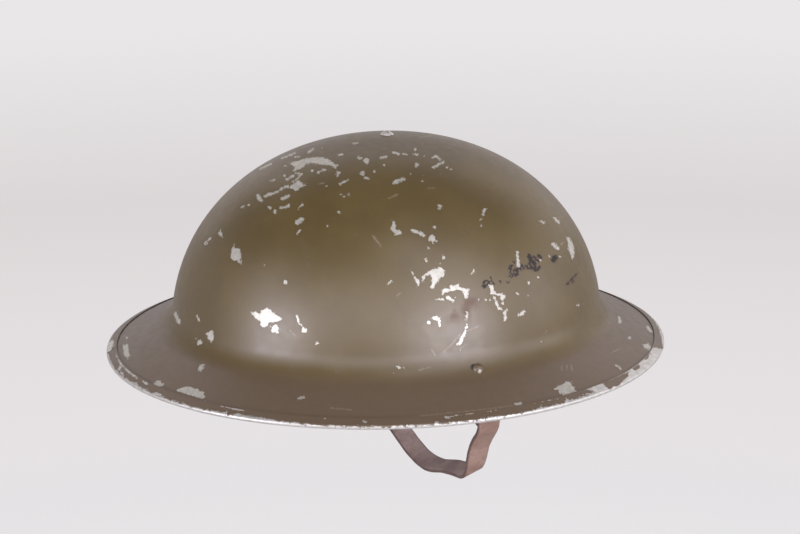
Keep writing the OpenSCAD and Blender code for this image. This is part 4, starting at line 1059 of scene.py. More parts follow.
# Small steel, brass, rubber and fibre pieces keep their CAD shapes
def metalFinish(name, colour, dark, rough, metallic=0.85):
    finish, _, surface, place = newFinish(name, Metallic=metallic)
    stain = grain(place, 260, 5, 0.7)
    height = plus(grain(place, 1900, 3, 0.6), times(stain, 1.5))
    dress(surface, height, 0.05 * mm, Base_Color=tint(fade(stain, 0.4, 0.66), colour, dark),
          Roughness=fade(stain, 0.3, 0.7, rough - 0.06, rough + 0.12))
    return finish


def rubberFinish(name, colour, pale, rough=0.72, scale=420):
    finish, _, surface, place = newFinish(name)
    mottle = grain(place, scale / 6, 5, 0.65)
    fine = grain(place, scale * 3, 4, 0.7)
    dress(surface, plus(fine, times(mottle, 1.2)), 0.12 * mm,
          Base_Color=tint(fade(mottle, 0.35, 0.75), colour, pale),
          Roughness=fade(fine, 0.3, 0.7, rough - 0.08, rough + 0.08))
    return finish


def rivetFinish(bareFull=0.6 * mm, bareEnd=1.1 * mm):  # painted, and worn bright at the middle of the head
    finish, tree, surface, place = newFinish("rivetPaint", Specular_IOR_Level=paint["gloss"])
    _, y, z = ((low + high) / 2 for low, high in zip(*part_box("lug_rivet_left")))
    reach = lengthOf(placeOf(tree, stretch=(0, 1, 1), move=(0, -y, -z)))
    stain = grain(place, 700, 5, 0.7)
    bare = fade(plus(reach, swing(stain, 2.5 * mm)), bareFull, bareEnd, 1, 0)
    # the rivet's paint varies at random towards the brim's colour, which holds a painted sheen
    colour = tint(fade(stain, 0.3, 0.7), paint["colourDeep"], paint["brimDustAndSheen"])
    dress(surface, minus(times(stain, 0.5), bare), 0.1 * mm,
          Base_Color=tint(bare, colour, paint["steelDull"]),
          Metallic=times(bare, 0.6), Roughness=fade(stain, 0.3, 0.7, 0.38, 0.48))
    return finish


def fibreFinish():  # pressed vulcanised fibre with short dark hairs in it
    finish, tree, surface, place = newFinish("vulcanFibre")
    hairs = grain(placeOf(tree, (0.3, 0.2, 0.5), (1, 1, 0.14)), 900, 4, 0.7, 0.4)
    mottle = grain(place, 60, 5, 0.6)
    colour = tint(fade(mottle, 0.3, 0.7), shade(116, 74, 48), shade(92, 58, 38))
    dress(surface, hairs, 0.08 * mm,
          Base_Color=tint(fade(hairs, 0.55, 0.7, 0, 0.7), colour, shade(62, 40, 28)),
          Roughness=fade(mottle, 0.3, 0.7, 0.42, 0.6))
    return finish


wireSteel = metalFinish("wireSteel", shade(150, 146, 140), shade(84, 80, 76), 0.42)
keptNodes = (
    (metalFinish("screwSteel", shade(214, 212, 200), shade(184, 180, 168), 0.36, 0.45), ["crown_screw"]),
    (metalFinish("wornBrass", shade(196, 178, 132), shade(120, 104, 74), 0.4),
     ["crown_nut", "liner_rivets", "buffer_rivets"]),
    (wireSteel, ["crown_plate", "buckle_prong", "lug_left", "lug_right"]),
    (rivetFinish(), ["lug_rivet_left"]),
    (olivePaintPlain, ["lug_rivet_right"]),
    (rubberFinish("agedRubber", shade(44, 42, 42), shade(78, 74, 70)),
     ["crown_disc", "buffer_front", "buffer_back", "buffer_left", "buffer_right"]),
    (fibreFinish(), ["liner_hoop", "cross_band_long", "cross_band_wide"]),
)
for finish, nodes in keptNodes:
    for node in nodes:
        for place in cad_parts[node].material_slots:
            place.material = finish
print("metal, rubber and fibre finished")


# Chin strap: its line is the CAD's own, in the strap's frame, in millimetres
strap = {
    "width": 11.2,
    "thickness": 2.0,
    "wire": 2.2,
    "wireCorner": 2.0,
    "gap": 0.2,
    "runGap": 0.3,
    "ringHeight": 10.0,
    "ringSpare": 1.0,
    "lean": 8.0,
    "side": 0.5,
    "hingeX": 115.738,
    "hingeZ": 4.648,
    "legSlope": 32.0,
    "heel": 44.0,
    "buckle": 13.0,
    "buckleSpare": 1.4,
    "keeperAt": 26.0,
    "keeperLength": 8.0,
    "keeperWall": 1.4,
    "keeperCorner": 1.3,
    "tip": 9.0,
    "cuts": 8,
    "turnBack": 2.2,
    "slot": 3.2,
    "hole": 3.6,
    "edgeRound": 0.55,
    "face": shade(144, 116, 101),
    "faceWorn": shade(162, 136, 121),
    "inside": shade(202, 179, 168),
    "insideDark": shade(170, 147, 138),
    "edge": shade(94, 74, 66),
    "crack": shade(86, 64, 54),
}
thick = strap["thickness"]
foldMiddle = strap["wire"] / 2 + strap["gap"] + thick / 2
layerStep = thick + strap["gap"]
underBar = strap["wire"] / 2 + strap["runGap"] + thick / 2
overHeel = strap["wire"] / 2 + strap["gap"] + thick + strap["runGap"] + thick / 2
overLeg = layerStep / 2 + thick / 2 + strap["runGap"] + thick / 2
frontAt = strap["heel"] + strap["buckle"]
legTurn = math.radians(strap["legSlope"])
nearLine = [(foldMiddle, 0, 0), (foldMiddle + 0.3, -2.5, -1), (4.2, -6, -3), (1.5, -11, -4), (-6, -18.5, -4),
            (-11.5, -25, -3), (-15.5, -31.5, 0), (-18.8, -37.2, 4), (-23.6, -42.6, 9), (-30.2, -45.8, 13),
            (-39.5, -47.8, 14), (-54, -52, 14), (-72, -58.5, 14), (-86, -61, 12), (-100, -60.5, 6),
            (-118, -56, 0)]
farLine = [(frontAt + 30, underBar), (frontAt + 18, underBar), (frontAt + 6, underBar),
           (frontAt - 1, underBar),
           ((strap["heel"] + frontAt) / 2, (underBar - overHeel) / 2), (strap["heel"] + 1, -overHeel),
           (strap["heel"] - 4, -overHeel), (strap["heel"] - 11, -overLeg), (strap["keeperAt"], -overLeg),
           (strap["tip"], -overLeg)]


def legAt(along, out):
    return (-strap["hingeX"] + along * math.cos(legTurn) + out * math.sin(legTurn),
            -strap["ringHeight"] - along * math.sin(legTurn) + out * math.cos(legTurn))


def movedTo(x, y, z):
    return Matrix.Translation((x * mm, y * mm, z * mm))


strapLine = [(strap["hingeX"] + x, -strap["ringHeight"] + z, twist) for x, z, twist in nearLine]
strapLine += [(*legAt(along, out), 0) for along, out in farLine]
strapFrame = (movedTo(0, 0, strap["hingeZ"]) @ Matrix.Rotation(math.radians(strap["lean"]), 4, "X")
              @ movedTo(0, strap["side"], 0))
legFrame = strapFrame @ movedTo(-strap["hingeX"], 0, -strap["ringHeight"]) @ Matrix.Rotation(legTurn, 4, "Y")


def arc(x, z, radius, angles):
    return [(x + radius * math.cos(math.radians(a)), z + radius * math.sin(math.radians(a))) for a in angles]


def roundLoop(left, right, bottom, top, corner, step=15):  # a rounded oblong
    path = arc(right - corner, top - corner, corner, range(0, 91, step))
    path += arc(left + corner, top - corner, corner, range(90, 181, step))
    path += arc(left + corner, bottom + corner, corner, range(180, 271, step))
    return path + arc(right - corner, bottom + corner, corner, range(270, 361, step))


def lineAt(t):  # a smooth line through the strap's points
    last = len(strapLine) - 1
    i = min(int(t), last - 1)
    u = t - i
    a, b, c, d = (strapLine[k] for k in (max(i - 1, 0), i, i + 1, min(i + 2, last)))
    return tuple(0.5 * (2 * q + (r - p) * u + (2 * p - 5 * q + 4 * r - s) * u * u
                        + (3 * q - p - 3 * r + s) * u ** 3)
                 for p, q, r, s in zip(a, b, c, d))


def insideOf(t):  # the turned-back end lies inside the strap
    x, z, twist = lineAt(t)
    before, after = lineAt(max(t - 0.33, 0)), lineAt(t + 0.33)
    dx, dz = after[0] - before[0], after[1] - before[1]
    size = math.hypot(dx, dz)
    offset = layerStep + (2 * foldMiddle - layerStep) * min(1, max(0, (7 - 3 * t) / 6)) ** 2
    return x + offset * dz / size, z - offset * dx / size, twist


def ribbonSection(half, tall):  # across and up, round-edged, with three more points on each broad face
    corner = min(strap["edgeRound"], tall * 0.4)
    loop = roundLoop(-half, half, -tall / 2, tall / 2, corner, 30)
    face = [share * (half - corner) * 1.2 for share in (0.5, 0.0, -0.5)]
    return (loop[:4] + [(x, tall / 2) for x in face] + loop[4:12]
            + [(-x, -tall / 2) for x in face] + loop[12:])


def markAcross(mesh, run, halfWidth, batch=4000):  # -1 to 1 over the width, and which face a point is on
    places, _ = pointsOf(mesh)
    middles, across, ups = (np.array(rows) for rows in zip(*run))
    middles = middles * mm
    nearest = np.zeros(len(places), int)
    for start in range(0, len(places), batch):
        part = places[start:start + batch]
        nearest[start:start + batch] = np.linalg.norm(part[:, None] - middles[None], axis=2).argmin(1)
    away = places - middles[nearest]
    writeMark(mesh, "across", (away * across[nearest]).sum(1) / (halfWidth * mm))
    writeMark(mesh, "face", np.sign((away * ups[nearest]).sum(1)))


def skinRings(name, shape, uv, rings, capped, finish):  # rings: vertices and their reach in metres
    count = len(rings[0][0])
    for (ringA, reachA), (ringB, reachB) in zip(rings, rings[1:]):
        for k in range(count):
            face = shape.faces.new((ringA[k], ringA[(k + 1) % count], ringB[(k + 1) % count], ringB[k]))
            for loop, u, v in zip(face.loops, (k, k + 1, k + 1, k), (reachA, reachA, reachB, reachB)):
                loop[uv].uv = (u / count, v)
    if capped:
        shape.faces.new(rings[0][0][::-1])
        shape.faces.new(rings[-1][0])
    bmesh.ops.recalc_face_normals(shape, faces=shape.faces)
    return meshOf(name, shape, finish)


def ribbonMesh(name, run, halfAt, tall, closed=False):  # run: points, across and up vectors
    shape = bmesh.new()
    uv = shape.loops.layers.uv.new("UVMap")
    rings, reach = [], 0.0
    for index, (place, across, up) in enumerate(run):
        if index:
            reach += (place - run[index - 1][0]).length * mm
        section = ribbonSection(halfAt(index), tall)
        rings.append(([shape.verts.new((place + across * x + up * y) * mm) for x, y in section], reach))
    if closed:
        rings.append((rings[0][0], 0.0))
    return skinRings(name, shape, uv, rings, not closed, strapLeather)


def leatherFinish(name, outer, worn, inner, innerDark, edge, crack):
    finish, tree, surface, place = newFinish(name)
    mottle = grain(place, 130, 5, 0.65)
    fine = grain(place, 1500, 4, 0.65)
    pores = addNode(tree, "ShaderNodeTexVoronoi", {"Vector": place, "Scale": 1400.0}).outputs[0]
    cracked = fade(calc("ABSOLUTE", minus(grain(place, 480, 6, 0.75, 1.2), 0.5)), 0.0, 0.035, 1, 0)
    flesh = tint(fade(grain(place, 55, 4, 0.6), 0.38, 0.62), inner, innerDark)
    colour = tint(fade(mottle, 0.35, 0.68), outer, worn)
    colour = tint(fade(mark(tree, "face"), -0.5, 0.5), colour, flesh)
    colour = tint(times(cracked, 0.4), colour, crack)
    rim = fade(plus(calc("ABSOLUTE", mark(tree, "across")), times(mottle, 0.16)), 0.93, 1.06)
    height = plus(times(pores, 0.5), times(fine, 0.6))
    dress(surface, minus(height, times(cracked, 0.9)), 0.16 * mm, 0.8,
          Base_Color=tint(times(rim, 0.85), colour, edge),
          Roughness=fade(mottle, 0.3, 0.7, 0.5, 0.68))
    return finish


strapLeather = leatherFinish("strapLeather", strap["face"], strap["faceWorn"], strap["inside"],
                             strap["insideDark"], strap["edge"], strap["crack"])


def slotTool(length, tall, place):
    shape = bmesh.new()
    bmesh.ops.create_cube(shape, size=1)
    bmesh.ops.scale(shape, vec=Vector((length, strap["slot"], tall)) * mm, verts=shape.verts)
    shape.transform(legFrame @ movedTo(*place))
    return shape


def holeTool(place, depth=8, sides=24):
    shape = bmesh.new()
    radius = strap["hole"] / 2 * mm
    bmesh.ops.create_cone(shape, cap_ends=True, segments=sides, radius1=radius, radius2=radius,
                          depth=depth * mm)
    shape.transform(legFrame @ movedTo(*place))
    return shape


def cutWith(name, mesh, shapes):  # takes holes out of a mesh
    holder = newObject(name + "Whole", mesh)
    tools = [newObject("cutter", meshOf("cutter", shape)) for shape in shapes]
    for tool in tools:
        modifier = holder.modifiers.new("cut", "BOOLEAN")
        modifier.operation = "DIFFERENCE"
        modifier.solver = "EXACT"
        modifier.object = tool
    cut = plainMesh(name, holder)
    for tool in tools:
        bpy.data.objects.remove(tool)
    return cut


def frameRun(line, frameAt):  # places, across and up along a line of x, z and twist
    turn = frameAt.to_3x3()
    run = []
    for index, (x, z, twist) in enumerate(line):
        a, b = line[max(index - 1, 0)], line[min(index + 1, len(line) - 1)]
        dx, dz = b[0] - a[0], b[1] - a[1]
        out = Vector((dz, 0, -dx)) / math.hypot(dx, dz)
        angle = math.radians(twist)
        across = Vector((0, math.cos(angle), 0)) + math.sin(angle) * out
        up = Vector((0, -math.sin(angle), 0)) + math.cos(angle) * out
        place = frameAt @ (Vector((x, 0, z)) * mm) / mm
        run.append((place, (turn @ across).normalized(), (turn @ up).normalized()))
    return run


def buildStrap():
    cuts, last, heel = strap["cuts"], len(strapLine) - 1, strap["heel"]
    line = [insideOf(strap["turnBack"] * (1 - k / (cuts * 3))) for k in range(cuts * 3 + 1)]
    fold = arc(strap["hingeX"], -strap["ringHeight"], foldMiddle, range(165, 14, -10))
    line += [(x, z, 0) for x, z in fold]
    back = len(line)
    line += [lineAt(k / cuts) for k in range(last * cuts + 1)]
    run = frameRun(line, strapFrame)

    def halfAt(index):  # a rounded tip and slightly uneven edges
        over = max(0.0, ((index - back) / cuts - last + 4 / 3)) / (4 / 3 + 0.1)
        wave = 0.12 * math.sin(index * 0.37) + 0.08 * math.sin(index * 0.9 + 1)
        return (strap["width"] / 2 + wave * 0.6) * math.sqrt(max(0, 1 - over * over))

    slotLength = strap["buckle"] - 2
    tools = [slotTool(slotLength, 24, (heel - 0.5 + slotLength / 2, 0, 0))]
    tools += [holeTool(place) for place in ((frontAt + 7, 0, 0), (frontAt + 17, 0, 0),
                                            (strap["tip"] + 7, 0, -4))]
    mesh = cutWith("chinStrap", ribbonMesh("chinStrap", run, halfAt, thick), tools)
    markAcross(mesh, run, strap["width"] / 2)
    addPiece("chinStrapLeather", mesh, ["chin_strap"], "strap_loop", 50)


def buildBuckleStrap():  # one short strap round the far ring's bar and the buckle's heel bar
    half, heel = layerStep / 2, strap["heel"]
    path = [(30 - k * 2.2, -half) for k in range(12)]
    path += arc(0, 0, foldMiddle, range(-140, -401, -13))
    path += [(6 + k * 2.1, half) for k in range(16)]
    path += arc(heel, 0, foldMiddle, range(140, -141, -14))
    path += [(38 - k * 2.0, -half) for k in range(4)]
    run = frameRun([(x, z, 0) for x, z in path], legFrame)
    mesh = ribbonMesh("buckleStrap", run, lambda index: strap["width"] / 2, thick)
    mesh = cutWith("buckleStrap", mesh, [slotTool(9, 12, (heel + 1.5, 0, 0))])
    markAcross(mesh, run, strap["width"] / 2)
    addPiece("buckleStrapLeather", mesh, ["buckle_strap"], "strap_loop", 50)


def buildKeeper():
    wall = strap["keeperWall"]
    side = (strap["width"] + wall) / 2 + strap["runGap"]
    low = (layerStep + thick + wall) / 2 + strap["runGap"]
    high = overLeg + (thick + wall) / 2 + strap["runGap"]
    path = roundLoop(-side, side, -high, low, strap["keeperCorner"])
    run = []
    turn = legFrame.to_3x3()
    for index, (y, z) in enumerate(path):
        before, after = path[index - 1], path[(index + 1) % len(path)]
        dy, dz = after[0] - before[0], after[1] - before[1]
        size = math.hypot(dy, dz)
        place = legFrame @ (Vector((strap["keeperAt"], y, z)) * mm) / mm
        run.append((place, turn @ Vector((1, 0, 0)), turn @ Vector((0, dz / size, -dy / size))))
    mesh = ribbonMesh("keeper", run, lambda index: strap["keeperLength"] / 2, wall, closed=True)
    markAcross(mesh, run, strap["keeperLength"] / 2)
    addPiece("keeperLeather", mesh, ["strap_keeper"], "keeper", 50)


# Bent wire and cord: a tube along a path in millimetres
def tubeMesh(name, path, radius, finish, closed=True, sides=12, frameAt=Matrix()):
    count = len(path)
    shape = bmesh.new()
    uv = shape.loops.layers.uv.new("UVMap")
    points = [frameAt @ (Vector(p) * mm) for p in path]
    normal = None
    rings, reach = [], 0.0
    for index, point in enumerate(points):
        before = points[index - 1] if index or closed else point
        after = points[(index + 1) % count] if index + 1 < count or closed else point
        along = (after - before).normalized()
        if normal is None:
            normal = along.orthogonal().normalized()
        normal = (normal - along * normal.dot(along)).normalized()
        side = along.cross(normal)
        if index:
            reach += (point - points[index - 1]).length
        rings.append(([shape.verts.new(point + (normal * math.cos(k * 2 * math.pi / sides)
                                                + side * math.sin(k * 2 * math.pi / sides)) * radius * mm)
                       for k in range(sides)], reach))
    if closed:  # turn the last ring's start to meet the first with the least twist
        first, last = rings[0][0], rings[-1][0]
        turn = min(range(sides), key=lambda t: (first[t].co - last[0].co).length)
        rings.append((first[turn:] + first[:turn], reach + mm))
    return skinRings(name, shape, uv, rings, not closed, finish)


def addWire(name, node, length, spare, frameAt):  # a round-cornered wire loop from x = 0
    half = (strap["width"] + spare + strap["wire"]) / 2
    path = [(x, y, 0) for x, y in roundLoop(0, length, -half, half, strap["wireCorner"])]
    mesh = tubeMesh(node, path, strap["wire"] / 2, wireSteel, frameAt=frameAt)
    addPiece(name, mesh, [node], "strap_loop")


buildStrap()
buildBuckleStrap()
buildKeeper()
for name, side in (("Left", 1), ("Right", -1)):
    turned = strapFrame @ movedTo(side * strap["hingeX"], 0, 0) @ Matrix.Rotation(math.radians(90), 4, "Y")
    addWire("ring" + name, "strap_ring_" + name.lower(), strap["ringHeight"], strap["ringSpare"], turned)
addWire("buckleWire", "buckle_frame", strap["buckle"], strap["buckleSpare"],
        legFrame @ movedTo(strap["heel"], 0, 0))
print("chin strap, rings and buckle made")


# Liner, in the CAD's own sizes
liner = {
    "headHalf": (82.94, 99.01), "bandThick": 1.6, "bandLow": 11.0, "bandTop": 47.5, "archFullness": 1.8,
    "bandRows": (18, 6, 18, 6), "bandTurns": 240, "weld": 0.001 * mm,
    "laceRadius": 34.0, "laceHeight": 86.0, "loopRadius": 2.4, "touch": 0.15,
    "laceSteps": 720, "laceTurns": 48, "laceOffset": 0.55, "plyRadius": 0.62,
    "knotRadius": 0.8, "tailRadius": 0.75,
    "tongues": 8, "tongueLow": 20.0, "tongueHigh": 15.0, "tongueThick": 1.4, "clothThick": 0.9,
    "columns": 18, "tongueRows": 26, "wave": 0.28, "waves": 11, "gather": 1.03, "taper": 0.62,
    "hemRadius": 39.2, "hemHeight": 84.42, "hemTurn": 14.0, "stitchInset": 3.0, "stitchProud": 0.08,
    "padHole": 9.0, "padRadius": 30.0, "padBevel": 1.6, "padThick": 5.0, "padReach": 87.19, "padTop": 101.55,
    "padGap": 0.1, "padHollow": 0.5, "padLayer": 0.22, "padLayers": 2.2, "padRows": (14, 6, 10, 6, 14),
    "padTurns": 96, "crossHeight": 46.0, "runGap": 0.3,
    "leather": shade(126, 86, 56), "leatherWorn": shade(150, 108, 74), "leatherInside": shade(104, 70, 46),
    "leatherEdge": shade(58, 38, 26), "leatherCrack": shade(70, 46, 32),
    "thread": shade(196, 182, 150), "laceColour": shade(206, 196, 168), "laceDirt": shade(140, 126, 98),
    "felt": shade(142, 134, 120), "feltDark": shade(96, 90, 80), "feltHair": shade(176, 168, 152),
    "oilcloth": shade(34, 32, 30), "oilclothWorn": shade(70, 64, 56), "oilclothCrack": shade(104, 94, 78),
    "weaveScale": 520.0,
}


def threadFinish(name, colour, fibre=2600):
    finish, _, surface, place = newFinish(name, Roughness=0.85, Specular_IOR_Level=0.25)
    dirty = fade(grain(place, 180, 4, 0.6), 0.35, 0.7)
    dress(surface, grain(place, fibre, 3, 0.6), 0.12 * mm, Base_Color=tint(dirty, colour, liner["laceDirt"]))
    return finish


def feltFinish():
    finish, tree, surface, place = newFinish("greyFelt", Roughness=0.95, Specular_IOR_Level=0.15,
                                             Sheen_Weight=0.35)
    fuzz = grain(placeOf(tree, (0.4, 0.7, 0.2), (1, 0.25, 1)), 1300, 5, 0.75, 1.5)
    cross = grain(placeOf(tree, (1.1, 0.2, 0.9), (0.25, 1, 1)), 1300, 5, 0.75, 1.5)
    hairs = larger(fuzz, cross)
    colour = tint(fade(grain(place, 90, 5, 0.65), 0.3, 0.7), liner["felt"], liner["feltDark"])
    dress(surface, hairs, 0.35 * mm,
          Base_Color=tint(fade(hairs, 0.5, 0.75, 0, 0.45), colour, liner["feltHair"]))
    return finish


def oilclothFinish():  # woven cotton under a cracked black coat, on the piece's own UV map
    finish, tree, surface, place = newFinish("blackOilcloth")
    inputs = {"Vector": addNode(tree, "ShaderNodeUVMap").outputs[0], "Scale": liner["weaveScale"]}
    warp, weft = (addNode(tree, "ShaderNodeTexWave", inputs, bands_direction=way).outputs[1] for way in "XY")
    mottle = grain(place, 110, 6, 0.7)
    line = fade(calc("ABSOLUTE", minus(grain(place, 240, 6, 0.7, 1.4), 0.5)), 0.0, 0.025, 1, 0)
    colour = tint(fade(mottle, 0.5, 0.72), liner["oilcloth"], liner["oilclothWorn"])
    height = minus(times(times(warp, weft), 0.5), times(line, 0.8))
    dress(surface, height, 0.12 * mm, Base_Color=tint(times(line, 0.5), colour, liner["oilclothCrack"]),
          Roughness=fade(mottle, 0.4, 0.7, 0.3, 0.55))
    return finish


sweatLeather = leatherFinish("sweatLeather", liner["leather"], liner["leatherWorn"], liner["leatherInside"],
                             liner["leatherInside"], liner["leatherEdge"], liner["leatherCrack"])
stitchThread = threadFinish("stitchThread", liner["thread"])
laceCotton = threadFinish("laceCotton", liner["laceColour"], 1600)


# One tree lays stitches along any line
def stitchTree():
    tree, given = newTree("stitchRow", Pitch="Float", Stitch_length="Float", Thread="Float")
    curve = addNode(tree, "GeometryNodeMeshToCurve", {0: given["Geometry"]}).outputs[0]
    spaced = addNode(tree, "GeometryNodeResampleCurve", {"Curve": curve, "Length": given["Pitch"]},
                     mode="LENGTH")
    along = addNode(tree, "GeometryNodeInputTangent").outputs[0]
    turn = addNode(tree, "FunctionNodeAlignRotationToVector", {"Vector": along}, axis="X").outputs[0]
    size = addNode(tree, "ShaderNodeCombineXYZ",
                   {0: given["Stitch length"], 1: given["Thread"], 2: given["Thread"]})
    bead = addNode(tree, "GeometryNodeMeshUVSphere", {"Segments": 6, "Rings": 5, "Radius": 0.5}).outputs[0]
    inputs = {"Points": spaced.outputs[0], "Instance": bead, "Rotation": turn, "Scale": size.outputs[0]}
    laid = addNode(tree, "GeometryNodeInstanceOnPoints", inputs).outputs[0]
    return endTree(tree, laid, given["Finish"])


stitchRow = stitchTree()


def addStitches(name, lines, pitch, length, thread):  # lines: lists of points in millimetres
    mesh = bpy.data.meshes.new(name + "Line")
    points, edges = [], []
    for line in lines:
        edges += [(len(points) + k, len(points) + k + 1) for k in range(len(line) - 1)]
        points += [Vector(p) * mm for p in line]
    mesh.from_pydata(points, edges, [])
    inputs = {"Pitch": pitch * mm, "Stitch length": length * mm, "Thread": thread * mm,
              "Finish": stitchThread}
    addPiece(name, runTree(name, mesh, stitchRow, inputs), [])


def buildSweatband():
    low, top, half = liner["bandLow"], liner["bandTop"], liner["bandThick"] / 2
    inner = liner["headHalf"][1]
    middle = inner + half
    ratio = (liner["headHalf"][0] + half) / middle

    def faceAt(step):
        part, share = partOf(step, 4)
        wave, turn = half * math.sin(math.pi * share), half * math.cos(math.pi * share)
        rise = (top - low - 2 * half) * share
        return ((middle + half, low + half + rise), (middle + turn, top - half + wave),
                (middle - half, top - half - rise), (middle - turn, low + half - wave))[part]

    line, shares, _ = sectionLine(stepRows(faceAt, liner["bandRows"])[::-1], 2)
    shape = flatSkin(shares, liner["bandTurns"])
    mesh = bendSkin("sweatband", shape, line, 0.25, liner["weld"], sweatLeather, ratio)
    shape.free()
    places, _ = pointsOf(mesh)
    radius = np.hypot(places[:, 0] / ratio, places[:, 1])
    writeMark(mesh, "across", (places[:, 2] / mm - (low + top) / 2) / ((top - low) / 2))
    writeMark(mesh, "face", np.sign(radius / mm - middle))
    addPiece("sweatbandLeather", mesh, ["sweatband"], sharp=50)
    proud = inner + liner["stitchProud"]
    lines = [[(proud * ratio * math.cos(a), proud * math.sin(a), height)
              for a in (math.radians(k) for k in range(361))]
             for height in (top - liner["stitchInset"], low + liner["stitchInset"])]
    addStitches("sweatbandStitches", lines, 4.2, 3.0, 0.7)


def onTurn(radius, angle, height):
    return Vector((radius * math.cos(math.radians(angle)), radius * math.sin(math.radians(angle)), height))


def waveAt(turn, side):  # the gather's small waves
    return liner["wave"] * math.sin(side * liner["waves"] + turn)


def tongueAt(turn, side, rise):
    quarter = math.pi / 2 * rise
    low = math.cos(quarter) ** (2 / liner["archFullness"])
    high = math.sin(quarter) ** (2 / liner["archFullness"])
    end = liner["laceRadius"] + liner["loopRadius"] + liner["touch"]
    out = 0.5 * liner["tongueThick"]
    half = [end + (h - end) * low + out * math.cos(quarter) for h in liner["headHalf"]]
    a = math.radians(turn + side * (liner["tongueLow"] + rise * (liner["tongueHigh"] - liner["tongueLow"])))
    arch = (liner["laceHeight"] - liner["bandTop"] - liner["tongueThick"] / 2) * high
    height = liner["bandTop"] + liner["touch"] + arch + out * math.sin(quarter)
    return Vector((half[0] * math.cos(a), half[1] * math.sin(a), height + waveAt(turn, side) * rise ** 4))


# From the tongue's end round the lace and back under it: radius and height
hemLine = [(36.2, 86.9), (35.3, 87.55), (34, 87.95), (32.62, 87.38), (32.05, 86), (32.62, 84.62), (34, 84.05),
           (35.38, 84.5), (36.6, 84.95), (38.2, 84.95), (40.4, 84.7)]


def clothMesh(name, rows, tall, finish):  # a sheet through rows of points, given its thickness
    shape = bmesh.new()
    uv = shape.loops.layers.uv.new("UVMap")
    grid = [[shape.verts.new(p * mm) for p in row] for row in rows]
    middle, last = len(rows[0]) // 2, len(rows[0]) - 1
    reach = [0.0]
    for a, b in zip(rows, rows[1:]):
        reach.append(reach[-1] + (a[middle] - b[middle]).length)
    width = (rows[0][0] - rows[0][-1]).length
    for r in range(len(rows) - 1):
        for c in range(last):
            corners = ((r, c), (r, c + 1), (r + 1, c + 1), (r + 1, c))
            face = shape.faces.new([grid[i][j] for i, j in corners])
            for loop, (i, j) in zip(face.loops, corners):
                loop[uv].uv = (j / last * width * mm, reach[i] * mm)
    holder = newObject(name + "Flat", meshOf(name, shape, finish))
    modifier = holder.modifiers.new("thick", "SOLIDIFY")
    modifier.thickness = tall * mm
    modifier.offset = 0
    return plainMesh(name, holder), width, reach[-1]


def buildTongues():
    oilcloth = oilclothFinish()
    sides = [-1 + 2 * k / liner["columns"] for k in range(liner["columns"] + 1)]
    rises = [k / liner["tongueRows"] for k in range(liner["tongueRows"])]
    stitches = []
    for index in range(liner["tongues"]):
        turn = (index + 0.5) * 360 / liner["tongues"]
        rows = [[tongueAt(turn, side, rise) for side in sides] for rise in rises]
        rows += [[onTurn(r, turn + side * liner["tongueHigh"], z + waveAt(turn, side)) for side in sides]
                 for r, z in hemLine]
        mesh, width, length = clothMesh("tongue%d" % (index + 1), rows, liner["clothThick"], oilcloth)
        piece = addPiece("liningTongue%d" % (index + 1), mesh, ["lining_tongues", "lace_loops"])
        stitches.append([onTurn(liner["hemRadius"], turn + side * liner["hemTurn"], liner["hemHeight"])
                         for side in sides])
    addStitches("hemStitches", stitches, 3.0, 2.1, 0.55)
    print("tongue flat size", round(width, 1), round(length, 1))


def twistedLine(path, offset, turns, phase):  # one ply of a twisted lace along a path
    points = []
    last = len(path) - 1
    for index, place in enumerate(path):
        along = (path[min(index + 1, last)] - path[max(index - 1, 0)]).normalized()
        side = along.cross(Vector((0, 0, 1))).normalized()
        angle = phase + 2 * math.pi * turns * index / len(path)
        points.append(place + (side * math.cos(angle) + side.cross(along) * math.sin(angle)) * offset)
    return points


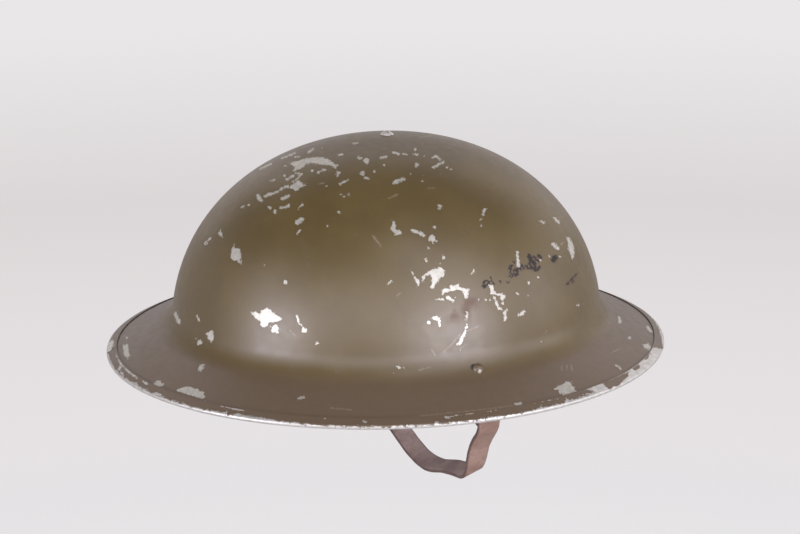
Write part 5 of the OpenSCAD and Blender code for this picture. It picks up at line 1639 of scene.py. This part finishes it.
def buildLace():
    radius, height, steps = liner["laceRadius"], liner["laceHeight"], liner["laceSteps"]
    ring = [onTurn(radius, k * 360 / steps, height) for k in range(steps)]
    plies = 3
    meshes = []
    for ply in range(plies):
        line = twistedLine(ring, liner["laceOffset"], liner["laceTurns"], ply * 2 * math.pi / plies)
        meshes.append(tubeMesh("ply", line, liner["plyRadius"], laceCotton, sides=7))
    knot = []
    for k in range(90):  # an overhand knot round the ring
        t = 2 * math.pi * k / 90
        swirl = 1.35 + 0.75 * math.cos(3 * t)
        knot.append((swirl * math.cos(2 * t) * 1.25, radius + swirl * math.sin(2 * t) * 0.75,
                     height + math.sin(3 * t)))
    meshes.append(tubeMesh("knot", knot, liner["knotRadius"], laceCotton, sides=8))
    for side in (-1, 1):  # its two short ends
        tail = [(side * (1.5 + 6 * s), radius - 1.2 - 3.5 * s * s - 2 * s,
                 height - 0.6 - 2.2 * s + math.sin(5 * s)) for s in (k / 14 for k in range(15))]
        meshes.append(tubeMesh("tail", tail, liner["tailRadius"], laceCotton, closed=False, sides=8))
    whole = bmesh.new()
    for mesh in meshes:
        whole.from_mesh(mesh)
    addPiece("laceRing", meshOf("laceRing", whole, laceCotton), ["lining_lace"])


def buildPad():
    hole, outer, bevel, full = liner["padHole"], liner["padRadius"], liner["padBevel"], liner["archFullness"]
    cross = liner["crossHeight"]

    def underBand(r):
        rest = 1 - (r / liner["padReach"]) ** full
        return cross + (liner["padTop"] - cross) * rest ** (1 / full) - liner["runGap"]

    low = underBand(outer) - liner["padThick"]
    flat = outer - bevel
    shoulder = underBand(flat) - liner["padGap"] - bevel

    def skinAt(step):
        part, share = partOf(step, 5)
        if part == 0:
            r = hole + (flat - hole) * share
            return r, underBand(r) - liner["padGap"]
        if part == 1:
            a = math.pi / 2 * (1 - share)
            return flat + bevel * math.cos(a), shoulder + bevel * math.sin(a)
        if part == 2:  # its layers' edges
            z = shoulder + (low + bevel - shoulder) * share
            return outer - liner["padLayer"] * abs(math.sin((z - low) * liner["padLayers"])), z
        if part == 3:
            a = -math.pi / 2 * share
            return flat + bevel * math.cos(a), low + bevel + bevel * math.sin(a)
        return flat - (flat - hole) * share, low - liner["padHollow"] * math.sin(math.pi * share)

    line, shares, _ = sectionLine(stepRows(skinAt, liner["padRows"]) + [(skinAt, 4.9999)], 3)
    shape = flatSkin(shares, liner["padTurns"])
    mesh = bendSkin("crownPad", shape, line, 0, liner["weld"], feltFinish(), 1.0)
    shape.free()
    pad = addPiece("crownPadFelt", mesh, ["crown_pad"])


buildSweatband()
buildTongues()
buildLace()
buildPad()
print("liner made")
